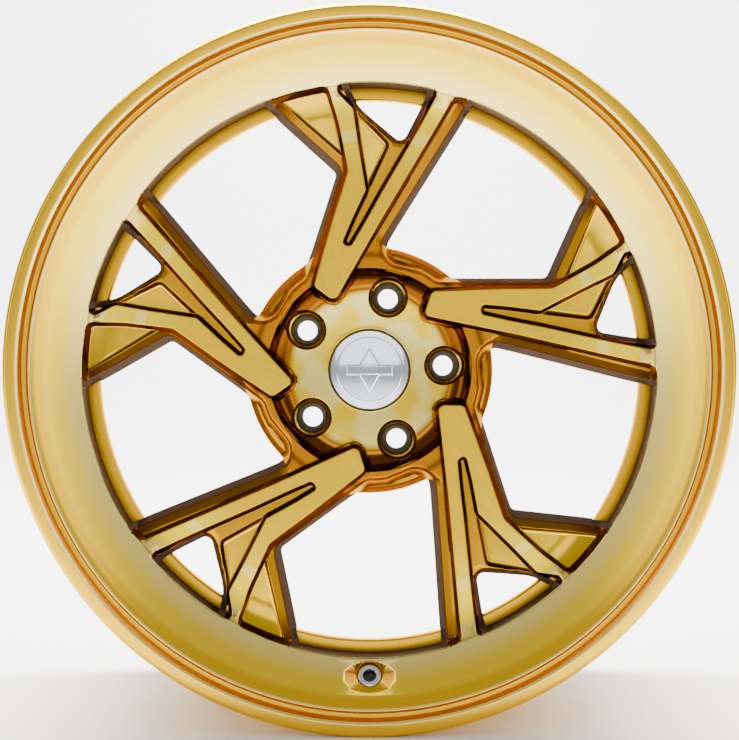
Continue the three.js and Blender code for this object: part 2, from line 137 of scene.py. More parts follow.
def rounded(corners, straight=5.0, closed=True):
    """An outline through corners (across, up, radius), each rounded by its radius."""
    places = [np.array(c[:2], float) for c in corners]
    path = []
    for i, (point, corner) in enumerate(zip(places, corners)):
        before, after = places[i - 1], places[(i + 1) % len(places)]
        into = (point - before) / np.linalg.norm(point - before)
        out = (after - point) / np.linalg.norm(after - point)
        turn = math.atan2(into[0] * out[1] - into[1] * out[0], float(into @ out))
        if corner[2] == 0 or abs(turn) < 1e-3:
            path.append(point)
            continue
        reach = corner[2] * math.tan(abs(turn) / 2)
        start = point - into * reach
        side = math.copysign(1.0, turn)
        centre = start + side * corner[2] * np.array([-into[1], into[0]])
        count = max(int(math.ceil(abs(turn) / math.radians(12))), 2)
        for j in range(count + 1):
            a = turn * j / count
            arm = start - centre
            path.append(centre + np.array([arm[0] * math.cos(a) - arm[1] * math.sin(a),
                                           arm[0] * math.sin(a) + arm[1] * math.cos(a)]))
    return with_steps(np.array(path), straight, closed)


def with_steps(path, longest, closed):
    """The same outline with its long stretches cut into steps."""
    pieces = []
    ends = np.roll(path, -1, axis=0) if closed else path[1:]
    for a, b in zip(path, ends):
        count = max(int(math.ceil(np.linalg.norm(b - a) / longest)), 1)
        pieces.append(a + (b - a) * np.arange(count)[:, None] / count)
    if not closed:
        pieces.append(path[-1:])
    return np.concatenate(pieces)


def turned_plan(points, angle):
    """Plan points turned clockwise about the wheel axis."""
    c, s = math.cos(angle), math.sin(angle)
    return points @ np.array([[c, -s], [s, c]])


def distance(points, outline):
    """Distance from plan points to a closed outline, negative inside it."""
    nearest = np.full(len(points), np.inf)
    inside = np.zeros(len(points), bool)
    x, z = points[:, 0], points[:, 1]
    for (ax, az), (bx, bz) in zip(outline, np.roll(outline, -1, axis=0)):
        dx, dz = bx - ax, bz - az
        along = np.clip(((x - ax) * dx + (z - az) * dz) / (dx * dx + dz * dz), 0, 1)
        nearest = np.minimum(nearest, (x - ax - along * dx) ** 2 + (z - az - along * dz) ** 2)
        if dz != 0:
            crosses = (az > z) != (bz > z)
            inside ^= crosses & (x < ax + (z - az) * dx / dz)
    return np.where(inside, -1.0, 1.0) * np.sqrt(nearest)


# The pads and the lip: everything at the top level of the face, outside the branch hole.
pads_and_lip = rounded(
    arc_points(window_radius, -51, -15)
    + [(-30.5, 207.5, 6.0), (-22.7, 182.8, 60.0), (-18.3, 161.2, 60.0), (-15.5, 147.0, 10.0),
       (-20.2, 132.1, 80.0), (-27.2, 110.3, 120.0), (-41.0, 62.0, 4.0), (-25.9, 50.8, 4.5),
       (8.0, 110.3, 120.0), (61.9, 200.4, 7.3)]
    + arc_points(window_radius, 21, 51)
    + arc_points(window_radius + 40, 51, -51, 6.0))

# The hole between the two branches: groove, inner pocket and branch window together.
branch_hole = rounded(
    [(-21.3, 92.0, 3.4), (-13.6, 110.3, 60.0), (-2.9, 132.9, 3.0), (-8.8, 168.4, 60.0),
     (-12.2, 192.3, 5.0), (-28.9, 207.6, 3.9)]
    + arc_points(window_radius, -5, 10.5)
    + [(51.0, 203.4, 3.3), (31.1, 168.4, 60.0), (9.8, 132.2, 60.0), (-2.4, 110.3, 60.0),
       (-13.4, 91.6, 3.4)])

# The opening right through the branch hole, at its back.
branch_window = rounded(
    [(24.6, 169.9, 5.5), (-6.2, 195.6, 30.0), (-21.0, 216.0, 0.0), (48.6, 216.0, 0.0)])

flap_pocket = rounded(
    [(-20.5, 158.8, 0.0), (-66.0, 197.7, 0.0), (-74.0, 204.6, 0.0), (-60.0, 218.0, 0.0),
     (-20.0, 218.0, 0.0), (-12.0, 165.0, 0.0)])

inner_pocket = rounded(
    [(-6.0, 126.0, 0.0), (-1.7, 133.5, 0.0), (13.9, 167.0, 4.5), (-14.0, 196.0, 0.0),
     (-18.0, 170.0, 0.0)])


def window_outline():
    """Front edge of the window clockwise of the spoke, from its right side to the next one's left."""
    own_side = [(76.2, 203.4), (0.0, 82.2)]
    next_side = turned_plan(np.array([(-46.8, 67.6), (-20.2, 149.4), (-78.1, 201.4)]), pitch)
    corner = [(*own_side[0], 2.5), (*own_side[1], 15.5)]
    web = arc_points(82.4, 27, 33)
    ends = [(*next_side[0], 10.0), (*next_side[1], 8.7), (*next_side[2], 2.5)]
    return rounded(corner + web + ends + arc_points(window_radius + 7.4, 48, 24))


window_front = window_outline()
window_before = turned_plan(window_front, -pitch)


# ---------- levels ----------
def dish_depth(radius):
    """Depth of the turned lip, straight inside the window edge and slightly hollow outside it."""
    out = radius - window_radius
    return window_edge_depth - dish_slope * out - dish_curve * np.maximum(out, 0) ** 2


def pad_depth(radius):
    cone = pad_depth_at_foot - pad_slope * (radius - pad_foot_radius)
    return soft_min(cone, dish_depth(radius), lip_blend)


def edge_drop(inside, chamfer, width, slope):
    """How far a surface has fallen at a distance inside its edge: a chamfer, then a drafted side."""
    ramp = soft_max(chamfer * (1 - inside / width), 0.0, 0.5)
    return soft_max(ramp, chamfer - slope * inside, 0.8)


def window_chamfer(radius):
    """Width of the chamfer round a window: narrow on the hub web, wide along the spokes."""
    share = np.clip((radius - 86.0) / 18.0, 0, 1)
    share = share * share * (3 - 2 * share)
    return 2.2 + 3.8 * share, 2.4 + 2.6 * share


def window_distance(points):
    """Distance outside the front edges of the two windows beside the spoke."""
    return np.minimum(distance(points, window_front), distance(points, window_before))


def shelf_surface(points, radius):
    width, drop = window_chamfer(radius)
    big = edge_drop(window_distance(points), drop, width, 4.5)
    small = edge_drop(distance(points, branch_window) - 4.5, 2.0, 2.0, 4.0)
    surface = pad_depth(radius) + shelf_drop + soft_max(big, small, 0.5)
    flap = pocket_floor(distance(points, flap_pocket), flap_drop)
    inner = pocket_floor(distance(points, inner_pocket), pocket_drop)
    surface = soft_max(surface, pad_depth(radius) + flap, 0.5)
    return soft_max(surface, pad_depth(radius) + inner, 0.5)


def pocket_floor(outside, drop):
    """Depth of a pocket below the pads: level inside, with a hollow corner and a leaning wall."""
    return drop - soft_max(1.6 * (outside + 1.2), 0.0, 2.0)


def top_surface(points, radius):
    outside = np.maximum(distance(points, pads_and_lip), -distance(points, branch_hole))
    wall = soft_max(1.7 * outside, 0.0, 1.1)
    return pad_depth(radius) + soft_max(wall, 4.2 + 7.0 * (outside - 2.5), 0.8)


def hub_dish(radius):
    """The bowl round the cap: a level floor and a hollow quarter round up to the web."""
    web = pad_depth(np.array([dish_edge_radius]))[0] + shelf_drop
    hollow = hub_floor_depth - web
    out = np.clip(radius - (dish_edge_radius - hollow), 0, hollow)
    wall = web + np.sqrt(np.maximum(hollow * hollow - out * out, 0))
    return np.where(radius < dish_edge_radius, wall, web - 8 * (radius - dish_edge_radius))


def rear_ring(radius):
    """The front of the ring that joins the spokes behind the hub, with its outer edge bevelled."""
    return ring_depth + soft_max(radius - ring_bevel_radius, 0.0, 1.5)


def lug_centre(k):
    a = lug_angle + k * pitch
    return lug_circle_radius * np.array([math.sin(a), math.cos(a)])


NEAR_LUGS = [lug_centre(k) for k in (-1, 0, 1)]


def lug_distance(points):
    """Distance from plan points to the nearest of the bolt hole centres beside the spoke."""
    return np.min([np.linalg.norm(points - centre, axis=1) for centre in NEAR_LUGS], axis=0)


def front_depth(points):
    """Depth of the visible front of the face at plan points near the top spoke."""
    radius = np.linalg.norm(points, axis=1)
    body = soft_min(shelf_surface(points, radius), rear_ring(radius), 2.0)
    body = soft_max(body, hub_dish(radius), 0.7)
    depth = soft_min(body, top_surface(points, radius), 1.0)
    inside = lug_mouth_radius - lug_distance(points)
    mouth = hub_floor_depth + np.minimum(0.9 * inside, 6.0 * inside)
    depth = soft_max(depth, mouth, 0.6)
    bore = hub_floor_depth + 0.9 * (cap_pocket_radius + 0.7 - radius)
    depth = np.where(radius < 40, soft_max(depth, bore, 0.3), depth)
    lip_edge = window_edge_depth + soft_max(3.0 * (window_radius + 0.35 - radius), 0.0, 1.0) * 0.6
    near_window = (radius > window_radius - 0.02) & (radius < window_radius + 3)
    depth = np.where(near_window & in_window(points), depth + lip_edge - window_edge_depth, depth)
    limit = np.where(radius > ledge_clear_radius, mating_depth - 0.1, 1e3)
    return np.minimum(depth, limit)


def in_window(points):
    return (window_distance(points) < 2.0) | (distance(points, branch_window) < 4.0)


def is_solid(points):
    """True where the face has metal, seen from the front."""
    radius = np.linalg.norm(points, axis=1)
    spokes = (window_distance(points) > -4.0) & (distance(points, branch_window) > 0.0)
    solid = spokes | (radius < ring_radius) | (radius > window_radius)
    solid &= (radius > cap_pocket_radius) & (radius < front_margin)
    return solid & (lug_distance(points) > lug_hole_radius)


# ---------- guide lines that the mesh follows ----------
def snapped(path, outline, offset):
    """The outline's points moved out to an exact distance from it."""
    ahead = np.roll(path, -1, axis=0) - np.roll(path, 1, axis=0)
    normal = unit(np.stack([ahead[:, 1], -ahead[:, 0]], axis=1))
    if np.mean(distance(path + 0.05 * normal, outline)) < 0:
        normal = -normal
    moved = path + offset * normal
    for _ in range(3):
        here = distance(moved, outline)
        step = 0.02
        grad = np.stack([distance(moved + [step, 0], outline) - here,
                         distance(moved + [0, step], outline) - here], axis=1) / step
        length = np.maximum(np.linalg.norm(grad, axis=1), 0.5)
        moved = moved + ((offset - here) / length ** 2)[:, None] * grad
    return moved


def with_crossings(path, limit):
    """The same closed path with a point wherever it crosses a circle round the wheel axis."""
    result = []
    for a, b in zip(path, np.roll(path, -1, axis=0)):
        result.append(a)
        first, second = np.linalg.norm(a) - limit, np.linalg.norm(b) - limit
        if first * second < 0:
            crossing = a + (b - a) * first / (first - second)
            result.append(crossing * limit / np.linalg.norm(crossing))
    return np.array(result)


class Guides:
    """Plan points and the edges between them, to be kept by the triangulation."""

    def __init__(self):
        self.points = []
        self.edges = []

    def add(self, path, keep, closed=True):
        start = len(self.points)
        self.points.extend(map(tuple, path))
        count = len(path)
        for i in range(count if closed else count - 1):
            j = (i + 1) % count
            if keep[i] and keep[j]:
                self.edges.append((start + i, start + j))

    def add_arc(self, radius, step_degrees):
        count = int(round(math.degrees(pitch) / step_degrees))
        angles = wedge_start + pitch * np.arange(count + 1) / count
        path = radius * np.stack([np.sin(angles), np.cos(angles)], axis=1)
        self.add(path, np.ones(len(path), bool), closed=False)

    def add_circle(self, centre, radius, count):
        angles = 2 * np.pi * np.arange(count) / count
        path = centre + radius * np.stack([np.sin(angles), np.cos(angles)], axis=1)
        self.add(path, np.ones(count, bool))


def in_wedge(points, margin=0.0):
    angle = np.arctan2(points[:, 0], points[:, 1])
    slack = margin / np.maximum(np.linalg.norm(points, axis=1), 1)
    return (angle > wedge_start - slack) & (angle < wedge_end + slack)


def triangulated(guides, solid_test):
    """Triangles of the wedge that pass the test, as plan points and index triples."""
    used = sorted({i for edge in guides.edges for i in edge} | set(guides.loose))
    index = {old: new for new, old in enumerate(used)}
    points = [Vector(guides.points[i]) for i in used]
    edges = [(index[a], index[b]) for a, b in guides.edges]
    out = delaunay_2d_cdt(points, edges, [], 0, 1e-5, False)
    plan = np.array([tuple(p) for p in out[0]])
    faces = np.array(out[2])
    middle = plan[faces].mean(axis=1)
    keep = in_wedge(middle) & solid_test(middle)
    return plan, faces[keep]


# ---------- mesh building ----------
def slope_normals(surface, plan, step):
    """Normals at plan points of a surface given as a depth, from how it slopes over a small step."""
    slopes = [(surface(plan + shift) - surface(plan - shift)) / (2 * step)
              for shift in (np.array([step, 0.0]), np.array([0.0, step]))]
    return unit(np.stack([slopes[0], -np.ones(len(plan)), slopes[1]], axis=1))


HUB_RADII = (cap_pocket_radius, 30.9, 31.4, 34, 37, 40, 43, 46, 49, 52, 55, 58, 59.5, 61, 63, 65, 67,
             69, 71, 72.5, 74, 75, dish_edge_radius, 76.2, 78, 80, 81, 82, 82.8, 83.5, 84.2, 85, 87,
             88.6, 89.3, 90, 90.8, 92, 93.2, ring_radius, 97)
LIP_RADII = (200.6, 201.0, 207.0, window_radius, window_radius + 0.4, window_radius + 1.0, 211.2,
             front_margin)


def face_guides():
    """Lines beside every edge of the spoke, and arcs across the hub and the lip."""
    guides = Guides()
    for offset in (-4.0, -3.0, -2.0, -1.0, 0.0, 0.7, 2.0, 3.5, 5.0, 6.5):
        own = snapped(window_front, window_front, offset)
        for path in (own, turned_plan(own, -pitch)):
            path = with_crossings(path, window_radius + 1.0)
            radius = np.linalg.norm(path, axis=1)
            guides.add(path, in_wedge(path, 6.0) & (radius < window_radius + 1.001))
    for offset in (0.0, 1.5, 3.0, 4.5, 5.2, 6.5):
        path = branch_window if offset == 0 else snapped(branch_window, branch_window, offset)
        path = with_crossings(path, window_radius - 0.01)
        radius = np.linalg.norm(path, axis=1)
        guides.add(path, (distance(path, branch_hole) < -0.2) & (radius < window_radius))
    for outline, other, sign in ((pads_and_lip, branch_hole, 1), (branch_hole, pads_and_lip, -1)):
        for offset in (-0.8, 0.0, 0.5, 1.2, 2.2, 3.5, 5.0):
            path = outline if offset == 0 else snapped(outline, outline, sign * offset)
            radius = np.linalg.norm(path, axis=1)
            uncovered = sign * distance(path, other) > (-0.3 if offset >= 0 else 0.9)
            near_spoke = np.abs(np.arctan2(path[:, 0], path[:, 1])) < math.radians(36)
            on_edge = np.abs(radius - window_radius) < 0.1
            reach = {-0.8: window_radius - 9.0, 5.0: 79.0}.get(offset, window_radius + 1.0)
            guides.add(path, near_spoke & ~on_edge & (radius < reach) & uncovered)
    for outline, drop in ((flap_pocket, flap_drop), (inner_pocket, pocket_drop)):
        for offset in (-3.4, -2.2, -1.1, 0.0, 1.1, 2.0, 3.0):
            path = outline if offset == 0 else snapped(outline, outline, offset)
            keep = (distance(path, branch_hole) < -1.0) | (distance(path, pads_and_lip) > 1.0)
            guides.add(path, keep & (np.linalg.norm(path, axis=1) < window_radius))
    for radius in HUB_RADII:
        guides.add_arc(radius, 2.0)
    for radius in LIP_RADII:
        guides.add_arc(radius, 360.0 / ring_steps)
    for radii in (HUB_RADII, LIP_RADII[2:]):
        for angle in (wedge_start, wedge_end):
            ray = np.outer(radii, [math.sin(angle), math.cos(angle)])
            guides.add(ray, np.ones(len(radii), bool), closed=False)
    for centre in NEAR_LUGS:
        for radius in (lug_hole_radius, 12.6, 13.4, 14.2, lug_mouth_radius, 15.3, 16.2):
            guides.add_circle(centre, radius, 60)
    guides.loose = fill_points(guides, 4.6)
    return guides


def fill_points(guides, step):
    """Adds a triangular grid of loose points that keeps clear of the guide lines."""
    taken = {(int(x // 1.6), int(z // 1.6)) for x, z in guides.points}
    loose = []
    for row in range(-20, 90):
        for column in range(-60, 61):
            x = (column + 0.5 * (row % 2)) * step
            z = row * step * 0.866
            cell = (int(x // 1.6), int(z // 1.6))
            near = {(cell[0] + i, cell[1] + j) for i in (-1, 0, 1) for j in (-1, 0, 1)}
            if near & taken or math.hypot(x, z) > front_margin - 2:
                continue
            if not in_wedge(np.array([[x, z]]), -1.2)[0]:
                continue
            loose.append(len(guides.points))
            guides.points.append((x, z))
    return loose


class Build:
    """Points, faces, a normal for each face corner and named values for each point."""

    def __init__(self, values=()):
        self.points = []
        self.faces = []
        self.normals = []
        self.slots = []
        self.values = {name: [] for name in values}
        self.count = 0

    def add(self, points, faces, normals, slot=0, **values):
        """Normals are one per face corner, as an array for each face."""
        self.points.append(np.asarray(points, float))
        self.faces.extend(tuple(int(i) + self.count for i in face) for face in faces)
        self.normals.extend(normals)
        self.slots.extend([slot] * len(faces))
        for name, store in self.values.items():
            store.append(np.broadcast_to(values.get(name, 0.0), (len(points),)))
        self.count += len(points)

    def piece(self, name, materials):
        """A Blender object from everything added, with near points made one."""
        points, target = welded(np.concatenate(self.points), weld_reach)
        faces, normals, slots = [], [], []
        for face, corner_normals, slot in zip(self.faces, self.normals, self.slots):
            corners = [(target[i], n) for i, n in zip(face, corner_normals)]
            kept = [c for k, c in enumerate(corners) if c[0] != corners[k - 1][0]]
            if len({c[0] for c in kept}) < 3:
                continue
            faces.append([c[0] for c in kept])
            normals.extend(c[1] for c in kept)
            slots.append(slot)
        mesh = bpy.data.meshes.new(name)
        mesh.from_pydata((points * MM).tolist(), [], faces)
        mesh.polygons.foreach_set("material_index", slots)
        mesh.polygons.foreach_set("use_smooth", [True] * len(faces))
        for label, store in self.values.items():
            merged = np.zeros(len(points))
            merged[target] = np.concatenate(store)
            mesh.attributes.new(label, "FLOAT", "POINT").data.foreach_set("value", merged)
        mesh.normals_split_custom_set(normals)
        for material in materials:
            mesh.materials.append(material)
        obj = bpy.data.objects.new(name, mesh)
        bpy.context.scene.collection.objects.link(obj)
        return obj


def welded(points, reach):
    """Points with near ones made one, and the new number of each."""
    tree = KDTree(len(points))
    for i, p in enumerate(points):
        tree.insert(p, i)
    tree.balance()
    target = np.full(len(points), -1)
    kept = []
    for i, p in enumerate(points):
        if target[i] >= 0:
            continue
        for _, j, _ in tree.find_range(p, reach):
            if target[j] < 0:
                target[j] = len(kept)
        kept.append(i)
    return points[kept], target


def boundary_edges(faces):
    """Directed edges that only one face uses."""
    edges = {(f[i], f[(i + 1) % len(f)]) for f in faces for i in range(len(f))}
    return [e for e in edges if (e[1], e[0]) not in edges]


def flat_normals(points, faces):
    """The face's own normal at each of its corners."""
    a, b, c = (points[[f[i] for f in faces]] for i in range(3))
    normals = unit(np.cross(b - a, c - a))
    return [np.repeat(n[None], len(f), axis=0) for n, f in zip(normals, faces)]


def in_space(plan, depth):
    """Plan points at a depth as points of the frame, in millimetres."""
    return np.stack([plan[:, 0], depth + front_y, plan[:, 1]], axis=1)


def smooth_ends(path, closed):
    """For each stretch of a profile, the normals at its two ends, smooth across slight bends."""
    ends = np.roll(path, -1, axis=0) if closed else path[1:]
    along = ends - path[:len(ends)]
    normal = unit(np.stack([along[:, 1], -along[:, 0]], axis=1))
    before, after = np.roll(normal, 1, axis=0), np.roll(normal, -1, axis=0)
    if not closed:
        before[0], after[-1] = normal[0], normal[-1]
    result = []
    for other in (before, after):
        bend = np.degrees(np.arccos(np.clip((other * normal).sum(axis=1), -1, 1)))
        result.append(np.where((bend < smooth_bend)[:, None], unit(normal + other), normal))
    return result


def signed_area(path):
    ahead = np.roll(path, -1, axis=0)
    return float((path[:, 0] * ahead[:, 1] - ahead[:, 0] * path[:, 1]).sum() / 2)


def turned(build, profile, steps, closed=True, place=None, start=0.0, skip=None):
    """Adds a profile (radius, depth) turned about the wheel axis.

    An open profile runs outward across its front, so its outside is on its right hand.
    place moves the points and normals to another axis. skip(step, stretch) leaves a face out.
    """
    if closed and signed_area(profile) < 0:
        profile = profile[::-1]
    ends_first, ends_last = smooth_ends(profile, closed)
    count = len(profile)
    angles = start + 2 * np.pi * np.arange(steps) / steps
    sines, cosines = np.sin(angles), np.cos(angles)
    points = np.stack([np.outer(sines, profile[:, 0]),
                       np.broadcast_to(profile[:, 1] + front_y, (steps, count)),
                       np.outer(cosines, profile[:, 0])], axis=2).reshape(-1, 3)

    def spin(normals, k):
        return np.array([normals[0] * sines[k], normals[1], normals[0] * cosines[k]])

    faces, normals = [], []
    for k in range(steps):
        after = (k + 1) % steps
        for i in range(len(ends_first)):
            j = (i + 1) % count
            if skip is not None and skip(k, i):
                continue
            faces.append((k * count + i, after * count + i, after * count + j, k * count + j))
            normals.append(np.array([spin(ends_first[i], k), spin(ends_first[i], after),
                                     spin(ends_last[i], after), spin(ends_last[i], k)]))
    if place is not None:
        points = place(points, True)
        normals = [place(n, False) for n in normals]
    build.add(points, faces, normals)


# ---------- the forged face ----------
def turned_about_axis(points, angle):
    """Points or normals of the frame turned clockwise about the wheel axis, seen from the front."""
    c, s = math.cos(angle), math.sin(angle)
    return points @ np.array([[c, 0, -s], [0, 1, 0], [s, 0, c]])


def back_depth(plan, front):
    """Depth of the car side of the face."""
    radius = np.linalg.norm(plan, axis=1)
    spoke = pad_depth(radius) + spoke_thickness
    hub = np.where(radius < rear_step_radius, hub_face_depth, rear_ring_depth)
    share = np.clip((radius - ring_radius) / rear_blend, 0, 1)
    beyond = rear_ring_depth + share * (spoke - rear_ring_depth)
    depth = np.where(radius < ring_radius + 0.01, hub, beyond)
    depth = np.maximum(depth, front + 1.0)
    return np.where(radius > ledge_clear_radius + 0.05, mating_depth, depth)


def back_plan(plan):
    """Plan points of the front moved to the smaller holes of the car side."""
    radius = np.linalg.norm(plan, axis=1)
    share = np.clip((bore_blend_radius - radius) / (bore_blend_radius - cap_pocket_radius), 0, 1)
    moved = plan * (1 + (bore_rear_radius - cap_pocket_radius) * share / radius)[:, None]
    for centre in NEAR_LUGS:
        arm = plan - centre
        reach = np.linalg.norm(arm, axis=1)
        near = reach < lug_blend_radius
        share = np.clip((lug_blend_radius - reach) / (lug_blend_radius - lug_hole_radius), 0, 1)
        shrink = (lug_hole_radius - lug_rear_radius) * share
        moved[near] = centre + (arm * (1 - shrink / np.maximum(reach, 1))[:, None])[near]
    return moved


# The next radius is where a painted shadow line runs between the web and the ring.
web_shadow_radius = 85.5                  # the dark line where the web meets the ring
pad_foot_shadow_radius = 78.0
# Radius of the painted shade line round each bolt hole mouth.
lug_shade_line_radius = 14.2
# Radius inside which each bolt hole mouth gets a painted highlight.
lug_seat_shine_radius = 13.4


def region_values(plan):
    """Where a plan point lies, as amounts from 0 to 1 that the finish depends on, among them where
    painted shade and painted highlights go.
    """
    radius = np.linalg.norm(plan, axis=1)
    outside = np.maximum(distance(plan, pads_and_lip), -distance(plan, branch_hole))
    on_spoke = np.clip((window_radius - radius) / 2.0, 0, 1)
    pad = np.clip(0.5 - outside / 1.2, 0, 1) * on_spoke
    # Painted shade in the creases beside the pads, at the pad feet near the hub and round the bolt
    # holes.
    crease = 1.2 * np.exp(-((outside - 1.6) / 1.3) ** 2)
    pockets = np.minimum(distance(plan, flap_pocket), distance(plan, inner_pocket))
    pocket = np.clip(0.4 - pockets, 0, 1)
    hub = np.clip(dish_edge_radius - radius, 0, 1)
    # Painted shadow line where the web meets the ring.
    shade = np.exp(-((radius - web_shadow_radius) / 2.2) ** 2)
    lug = lug_distance(plan)
    outline = np.exp(-((lug - lug_shade_line_radius) / 0.6) ** 2)
    near_foot = np.clip((pad_foot_shadow_radius - radius) / 3.0, 0, 1)
    foot_shade = np.clip(1.25 - np.abs(outside - 2.4) / 2.8, 0, 1) * near_foot
    crease = np.maximum(crease, np.maximum(foot_shade, outline))
    ring = np.clip(-window_distance(plan) - 1.0, 0, 1) * (radius < ring_radius)
    off_pad = 1 - np.clip(0.5 - outside / 1.2, 0, 1)
    return {"pad": pad, "crease": np.clip(crease, 0, 1) * (radius < window_radius + 2),
            "pocket": pocket * off_pad, "hub": hub * off_pad,
            "shade": np.clip(shade, 0, 1) * off_pad * (1 - ring), "ring": ring,
            "lug": np.clip((lug_seat_shine_radius - lug) / 0.4, 0, 1)}


FACE_VALUES = ("pad", "crease", "pocket", "hub", "ring", "lug", "shade", "across", "along")
FRONT, BACK, DRAFTED, WALL, LEVEL = range(5)    # the face's materials, in the order of its list


def add_sector(build, plan, faces, turn):
    """One spoke's share of the face: its front, its car side and the walls between them."""
    front = front_depth(plan)
    rear = back_depth(plan, front)
    normals = slope_normals(front_depth, plan, 0.05)
    top = turned_about_axis(in_space(plan, front), turn)
    top_normals = turned_about_axis(normals, turn)
    values = {**region_values(plan), "across": plan[:, 0], "along": plan[:, 1]}
    middle = plan[faces].mean(axis=1)
    drafted = (window_distance(middle) < -0.2) | (distance(middle, branch_window) < 4.3)
    reach = np.linalg.norm(middle, axis=1)
    drafted &= (reach > ring_radius) & (reach < window_radius)
    for slot, chosen in ((FRONT, faces[~drafted]), (DRAFTED, faces[drafted])):
        build.add(top, chosen, [top_normals[list(f)] for f in chosen], slot, **values)
    bottom = turned_about_axis(in_space(back_plan(plan), rear), turn)
    flipped = [tuple(reversed(f)) for f in faces]
    build.add(bottom, flipped, flat_normals(bottom, flipped), BACK)
    add_walls(build, plan, faces, front, rear, turn)


def add_walls(build, plan, faces, front, rear, turn):
    """Walls down from every edge of the sector that isn't shared with its neighbours."""
    upper, lower = in_space(plan, front), in_space(back_plan(plan), rear)
    edges = []
    for a, b in boundary_edges(faces):
        middle = (plan[a] + plan[b]) / 2
        angle = math.atan2(middle[0], middle[1])
        radius = np.linalg.norm(middle)
        on_seam = min(abs(angle - wedge_start), abs(angle - wedge_end)) * radius < 0.01
        if not on_seam and radius < front_margin - 0.05:
            edges.append((a, b))
    side = {}
    for a, b in edges:
        for v in (a, b):
            side.setdefault(v, []).append(outward(plan, a, b))
    for a, b in edges:
        own = outward(plan, a, b)
        means = [unit(sum(side[v])) for v in (a, b)]
        ends = [mean if mean @ own > 0.85 else own for mean in means]
        steps = wall_steps(plan[[a, b]], upper[[a, b]], lower[[a, b]])
        for first, second in zip(steps, steps[1:]):
            points = np.array([first[0], second[0], second[1], first[1]])
            level = abs(first[0][1] - second[0][1]) < 0.01
            if level:
                normals = np.tile([0.0, -1.0, 0.0], (4, 1))
            else:
                normals = np.array([[e[0], 0, e[1]] for e in (ends[0], ends[0], ends[1], ends[1])])
            build.add(turned_about_axis(points, turn), [(0, 1, 2, 3)],
                      [turned_about_axis(normals, turn)], LEVEL if level else WALL)


def outward(plan, a, b):
    """The plan direction square to an edge, away from its face."""
    along = plan[b] - plan[a]
    return unit(np.array([along[1], -along[0]]))


def wall_steps(plan_ends, upper, lower):
    """The pairs of points that one wall runs through from the front to the car side."""
    for centre in NEAR_LUGS:
        arms = plan_ends - centre
        if abs(np.linalg.norm(arms[0]) - lug_hole_radius) < 0.05:
            depth = np.full(2, lug_step_depth)
            inner = centre + arms * (lug_rear_radius / lug_hole_radius)
            return [upper, in_space(plan_ends, depth), in_space(inner, depth), lower]
    if abs(np.linalg.norm(plan_ends[0]) - cap_pocket_radius) < 0.05:
        out = unit(plan_ends)
        return [upper] + [in_space(out * r, np.full(2, t)) for r, t in CAP_BORE] + [lower]
    return [upper, lower]


# The bore behind the cap as (radius, depth): the ledge that its legs snap over, then the hub bore.
CAP_BORE = ((cap_pocket_radius, 62.0), (28.6, 62.0), (28.6, 68.0), (bore_rear_radius, 68.0))


def lip_profile():
    """The turned lip, outer flange and bead seat, from the spoke mesh out and round to the joint."""
    start = front_margin
    dish = [(r, float(dish_depth(np.array([r]))[0])) for r in np.arange(start, 241.0, 2.4)]
    corners = [(r, t, 0.0) for r, t in dish]
    corners += [(241.8, 5.2, 1.2), (243.3, 4.4, 0.7), (245.1, 7.0, 0.9), (248.3, 6.6, 1.2),
                (250.1, 1.6, 0.8), (251.5, 0.0, 1.2), (258.5, 0.0, 1.6), (flange_radius, 2.5, 1.6),
                (flange_radius, 9.0, 1.2), (258.3, flange_thickness, 1.2),
                (250.0, flange_thickness, 4.5), (bead_seat_radius, 17.3, 3.0),
                (bead_seat_radius - 1.2, 31.5, 2.0), (bead_seat_radius, 35.5, 1.0),
                (226.8, mating_depth, 0.6), (front_margin, mating_depth, 0.0)]
    return rounded(corners, 6.0, closed=False)


def forged_face():
    """The five spokes with the hub and the lip, as one closed mesh."""
    guides = face_guides()
    plan, faces = triangulated(guides, is_solid)
    build = Build(FACE_VALUES)
    for k in range(spoke_count):
        add_sector(build, plan, faces, k * pitch)
    profile = lip_profile()
    turned(build, profile, ring_steps, closed=False, start=wedge_start, skip=in_valve_patch(profile))
    add_valve_hole(build, profile)
    return build


# ---------- valve hole ----------
valve_radius = 220.5                      # where the valve axis leaves the dish
valve_depth = 21.34
valve_lean = (0.6, 0.8)                   # outward and towards the car
valve_spot_radius = 9.4
valve_spot_depth = 4.0
valve_hole_radius = 5.65
valve_wall = 25.6
valve_seat_radius = 9.0
valve_steps = 48
mouth_chamfer = 0.35
patch_half_steps = 6
patch_rows = (212.0, 233.7)
rear_rows = (226.9, 243.3)


def valve_place(points, moved=True):
    """Points or normals about the wheel axis, moved to the valve's leaning axis."""
    across = points[..., 0]
    down = points[..., 1] - (front_y if moved else 0.0)
    up = points[..., 2]
    out, along = valve_lean
    y = along * down + out * up
    z = -out * down + along * up
    if moved:
        y = y + front_y + valve_depth
        z = z - valve_radius
    return np.stack([across, y, z], axis=-1)


def patch_centre_step():
    return int(round((math.pi - wedge_start) / (2 * math.pi / ring_steps)))


def in_valve_patch(profile):
    """A test for the faces of the turned lip that the valve hole's own mesh takes the place of."""
    middle = patch_centre_step()

    def skip(step, stretch):
        a, b = profile[stretch], profile[min(stretch + 1, len(profile) - 1)]
        near = middle - patch_half_steps <= step < middle + patch_half_steps
        front = b[0] > a[0] and patch_rows[0] - 0.1 < a[0] and b[0] < patch_rows[1] and a[1] < 29
        rear = b[0] < a[0] and rear_rows[0] < b[0] and a[0] < rear_rows[1] and 35.8 < a[1]
        return near and (front or rear)

    return skip


